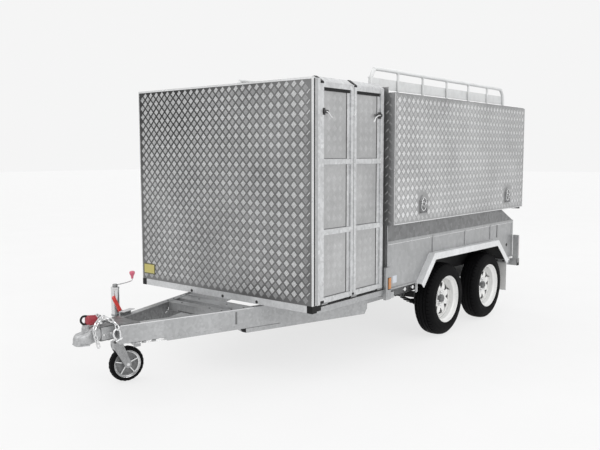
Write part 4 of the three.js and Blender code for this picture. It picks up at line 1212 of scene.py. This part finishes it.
def jockey_tube():
    p = Piece("jockey_outer_tube", "jockey_tube", "zinc", ["chrome", "zinc"])
    p.lathe(POST, Z, [(25.2, 372), (25.2, 366), (28.6, 366), (28.8, 372), (28.6, 676), (30.4, 678),
        (30.4, 688), (27, 690), (12, 690), (12, 678), (25, 672), (25.2, 600)], "chrome", 40, closed=True)
    p.lathe(POST + POST_OUT * 0.027 + Z * 0.455, POST_OUT, [(37, 0), (38, 3), (38, 14), (34, 16.5)],
        "zinc", 36)
    for z in (425, 485):
        p.lathe(POST, Z, [(30.6, z), (31.2, z + 3), (31.2, z + 9), (30.6, z + 12)], "zinc", 36)
    p.done(0, replaces=["jockey_tube"])
    b = Piece("jockey_mount_fittings", "trailer", "zinc", ["zinc", "bolt_dark", "galv_bright"])
    rail_out, rail_run = rail_vector(-1, RAIL_OUT), rail_vector(-1, RAIL_DIR)
    a0 = (Vector((-JOCKEY[0], JOCKEY[1], 0)) - RAIL_START).dot(RAIL_DIR)
    for da in (-48, 48):
        for z in (402, 511):
            b.bolt(on_rail(-1, a0 + da, z, 10), rail_out, 13, "bolt_dark")
    b.slab(on_rail(-1, a0 - 62, 528, 10), rail_run * 0.124, rail_out * -0.044, Z * 0.004, "galv_bright")
    b.lathe(on_rail(-1, a0, 455, 10), rail_out, [(44, 0), (44, 4), (40, 6), (33, 7)], "zinc", 36)
    b.done(0.8)


def jockey_fork():
    f = Piece("jockey_fork_pressing", "jockey_fork", "zinc", ["zinc", "chain", "bolt_dark"])
    side = [(-30, 294.7), (-31, 262), (-24, 240), (TRAIL - 24, 118), (TRAIL - 14, 104), (TRAIL, 98),
        (TRAIL + 15, 103), (TRAIL + 25, 117), (TRAIL + 25, 136), (42, 262), (34, 294.7)]
    for x in (-38, 34):
        f.prism([caster(x, y, z) for y, z in side], AXLE_LINE * 4 * MM, "zinc")
    f.prism([caster(-37, y, z) for y, z in ((-30, 294.7), (-30, 284), (34, 284), (34, 294.7))],
        AXLE_LINE * 74 * MM, "zinc")
    f.prism([caster(-37, y, z) for y, z in ((-31, 290), (-24, 240), (-20, 241), (-27, 290))],
        AXLE_LINE * 74 * MM, "zinc")
    for s in (-1, 1):
        f.lathe(caster(s * 38, TRAIL, SMALL_R), AXLE_LINE * s, [(14, 0), (14, 2), (10, 2.2), (10, 8),
            (5, 9)], "chain", 6)
        f.rod(caster(0, TRAIL, SMALL_R), caster(s * 38, TRAIL, SMALL_R), 7.8, "bolt_dark", 16)
    f.lathe(POST, Z, [(26, 295.2), (31, 295.2), (31, 302), (26, 306)], "zinc", 32, closed=True)
    f.done(0.8, replaces=["jockey_fork"])


def jockey_wheel():
    w = Piece("jockey_small_wheel", "jockey_wheel", "solid_rubber", ["solid_rubber", "zinc", "chain",
        "galv_dark"])
    hub, axis = caster(0, TRAIL, SMALL_R), AXLE_LINE
    rubber = [(93, 20), (99, 25.5), (106, 27), (116, 25.5), (122, 21), (124, 19), (126, 14.5), (127, 7),
        (124.5, 6), (124.5, 3.5), (127, 2.5)]
    ring = mirrored(rubber)
    w.lathe(hub, axis, ring, "solid_rubber", 72, closed=True,
        wobble=lambda i, k: LUG_SHARE if i % 3 == 0 and k in LUG_ROWS else 1)
    rim = [(93.5, 21), (95.5, 25), (98, 26.2), (96, 22), (94, 18), (88, 14), (86, 4), (88, -4),
        (94, -18), (96, -22), (98, -26.2), (95.5, -25), (93.5, -21), (90, -17), (84, -13), (82.5, 0),
        (84, 13), (90, 17)]
    w.lathe(hub, axis, rim, "chain", 56, closed=True)
    w.lathe(hub, axis, [(8.6, -25.5), (19, -25.5), (21, -20), (21, 20), (19, 25.5), (8.6, 25.5)], "zinc",
        28, closed=True)
    w.lathe(hub, axis, [(20, -5), (84, -3), (84, 3), (20, 5)], "galv_dark", 48, closed=True)
    for k in range(5):
        a = 2 * math.pi * k / 5 + 0.35
        spoke = CASTER_TURN @ Y * math.cos(a) + Z * math.sin(a)
        flat = axis.cross(spoke)
        for s in (-1, 1):
            w.prism([hub + spoke * 0.019 + flat * 0.0045 + axis * s * 0.004, hub + spoke * 0.084
                + flat * 0.0035 + axis * s * 0.003, hub + spoke * 0.084 - flat * 0.0035
                + axis * s * 0.003, hub + spoke * 0.019 - flat * 0.0045 + axis * s * 0.004],
                axis * s * 0.011, "chain")
    w.done(0.5, replaces=["jockey_wheel"])


def jockey_crank():
    jx, jy = JOCKEY
    c = Piece("jockey_crank_arm", "jockey_crank", "red_plastic", ["chain", "pink_knob", "zinc"])
    c.lathe(POST, Z, [(17, 690.5), (18, 693), (18, 706), (14, 711), (6, 712)], "zinc", 6)
    c.tube([at(jx, jy, 701), at(jx, jy + 20, 702), at(jx, jy + 80, 705), at(jx, jy + 128, 710),
        at(jx, jy + 146, 716), at(jx, jy + 150, 732), at(jx, jy + 150, 744)], 4.2, "chain", 12)
    c.lathe(at(jx, jy + 150, 0), Z, [(6.5, 728.5), (8, 730), (9, 742), (12.5, 752), (18.5, 762),
        (20, 772), (17, 781), (9, 784)], "pink_knob", 28)
    c.done(0, replaces=["jockey_crank"])


def jockey_lever():
    t = Piece("jockey_clamp_lever", "jockey_lever", "red_plastic", ["red_plastic", "zinc"])
    foot = POST + POST_OUT * 0.042 + Z * 0.518
    tip = foot + Vector((-0.004, -0.058, 0.114))
    run = (tip - foot).normalized()
    flat = run.cross(POST_OUT).normalized()
    widths = [(-0.006, 10, 6), (0.0, 17, 9), (0.03, 15.5, 9.5), (0.07, 15, 9.5), (0.1, 16.5, 10),
        (0.122, 15.5, 9.5), (0.129, 7, 5)]
    rings = []
    for distance, half, thick in widths:
        ring = []
        for k in range(16):
            a = 2 * math.pi * k / 16
            ring.append(foot + run * distance + flat * (half * math.cos(a) * MM)
                + flat.cross(run) * (thick * math.sin(a) * MM))
        rings.append(ring)
    t.loft(rings, "red_plastic")
    t.rod(POST + POST_OUT * 0.0335 + Z * 0.518, POST + POST_OUT * 0.058 + Z * 0.518, 10.5, "zinc", 20)
    t.done(0, replaces=["jockey_lever"])


# ---- make everything ----
trims()
front_rail_details()
corner_posts()
ramp_details()
ramp_latches()
lid_latches()
lid_details()
rear_door()
racks()
tub_details()
rear_details()
for axle_name in ("front", "rear"):
    for side_name in SIDES:
        tyre(axle_name, side_name)
        wheel(axle_name, side_name)
springs()
drawbar_details()
coupling()
chains()
jockey_tube()
jockey_fork()
jockey_wheel()
jockey_crank()
jockey_lever()


# ---- floor, light, camera ----
FLOOR_GLOW, BACKDROP, SKY_STRENGTH = 0.73, 0.914, 1.08


def studio():
    bpy.ops.mesh.primitive_plane_add(size=120)
    floor = bpy.context.object
    floor.name = "studio_floor"
    material, tree, shader, where = new_material("studio_paper", 0.0, 0.9, 0.0, 0.15)
    soft = noise(tree, where, 1.3, 2.0)
    tree.links.new(graded(tree, soft, 0.17, 0.18), shader.inputs["Base Color"])
    shader.inputs["Emission Color"].default_value = (*grey(FLOOR_GLOW), 1)
    shader.inputs["Emission Strength"].default_value = 1.0
    floor.data.materials.append(material)

    world = bpy.data.worlds.new("studio")
    bpy.context.scene.world = world
    world.use_nodes = True
    tree = world.node_tree
    tree.nodes.clear()
    out = tree.nodes.new("ShaderNodeOutputWorld")
    seen, lit = tree.nodes.new("ShaderNodeBackground"), tree.nodes.new("ShaderNodeBackground")
    path = tree.nodes.new("ShaderNodeLightPath")
    blend = tree.nodes.new("ShaderNodeMixShader")
    where = tree.nodes.new("ShaderNodeTexCoord")
    split = tree.nodes.new("ShaderNodeSeparateXYZ")
    tree.links.new(where.outputs["Generated"], split.inputs["Vector"])
    sky = ramp(tree, split.outputs["Z"], [(0.0, grey(0.62)), (0.25, grey(0.80)), (0.7, grey(1.0))])
    tree.links.new(sky, lit.inputs["Color"])
    lit.inputs["Strength"].default_value = SKY_STRENGTH
    seen.inputs["Color"].default_value = (*grey(BACKDROP), 1)
    tree.links.new(path.outputs["Is Camera Ray"], blend.inputs[0])
    tree.links.new(lit.outputs[0], blend.inputs[1])
    tree.links.new(seen.outputs[0], blend.inputs[2])
    tree.links.new(blend.outputs[0], out.inputs["Surface"])


SOFTBOXES = [  # name, place, target, size in metres, watts
    ("key", (-3.2, -7.5, 6.0), (0, 0, 1.1), (5, 4), 110),
    ("side", (8.5, -1.0, 4.5), (0.5, 0.8, 1.0), (5, 5), 190),
    ("top", (0.5, 1.0, 8.5), (0, 0.5, 1.0), (7, 7), 40),
    ("back", (-6, 8, 5), (0, 0, 1), (5, 5), 40),
]


def softbox(name, place, target, size, power):
    data = bpy.data.lights.new(name, "AREA")
    data.shape = "RECTANGLE"
    data.size, data.size_y = size
    data.energy = power
    lamp = add_object(name, data)
    lamp.location = place
    lamp.rotation_euler = (Vector(target) - Vector(place)).to_track_quat("-Z", "Y").to_euler()


SENSOR, LENS = 36.0, 42.44
EYE = Vector((3.875, WALL_Y - 3.741, 1.617))
YAW, PITCH, ROLL = (math.radians(a) for a in (39.34, 5.71, 0.09))


def camera():
    data = bpy.data.cameras.new("camera")
    data.sensor_width, data.lens = SENSOR, LENS
    data.sensor_fit = "HORIZONTAL"
    data.clip_end = 200
    eye = add_object("camera", data)
    eye.location = EYE
    eye.rotation_euler = (math.pi / 2 - PITCH, ROLL, YAW)
    bpy.context.scene.camera = eye


studio()
for lamp in SOFTBOXES:
    softbox(*lamp)
camera()
bpy.context.scene.view_settings.view_transform = "Standard"
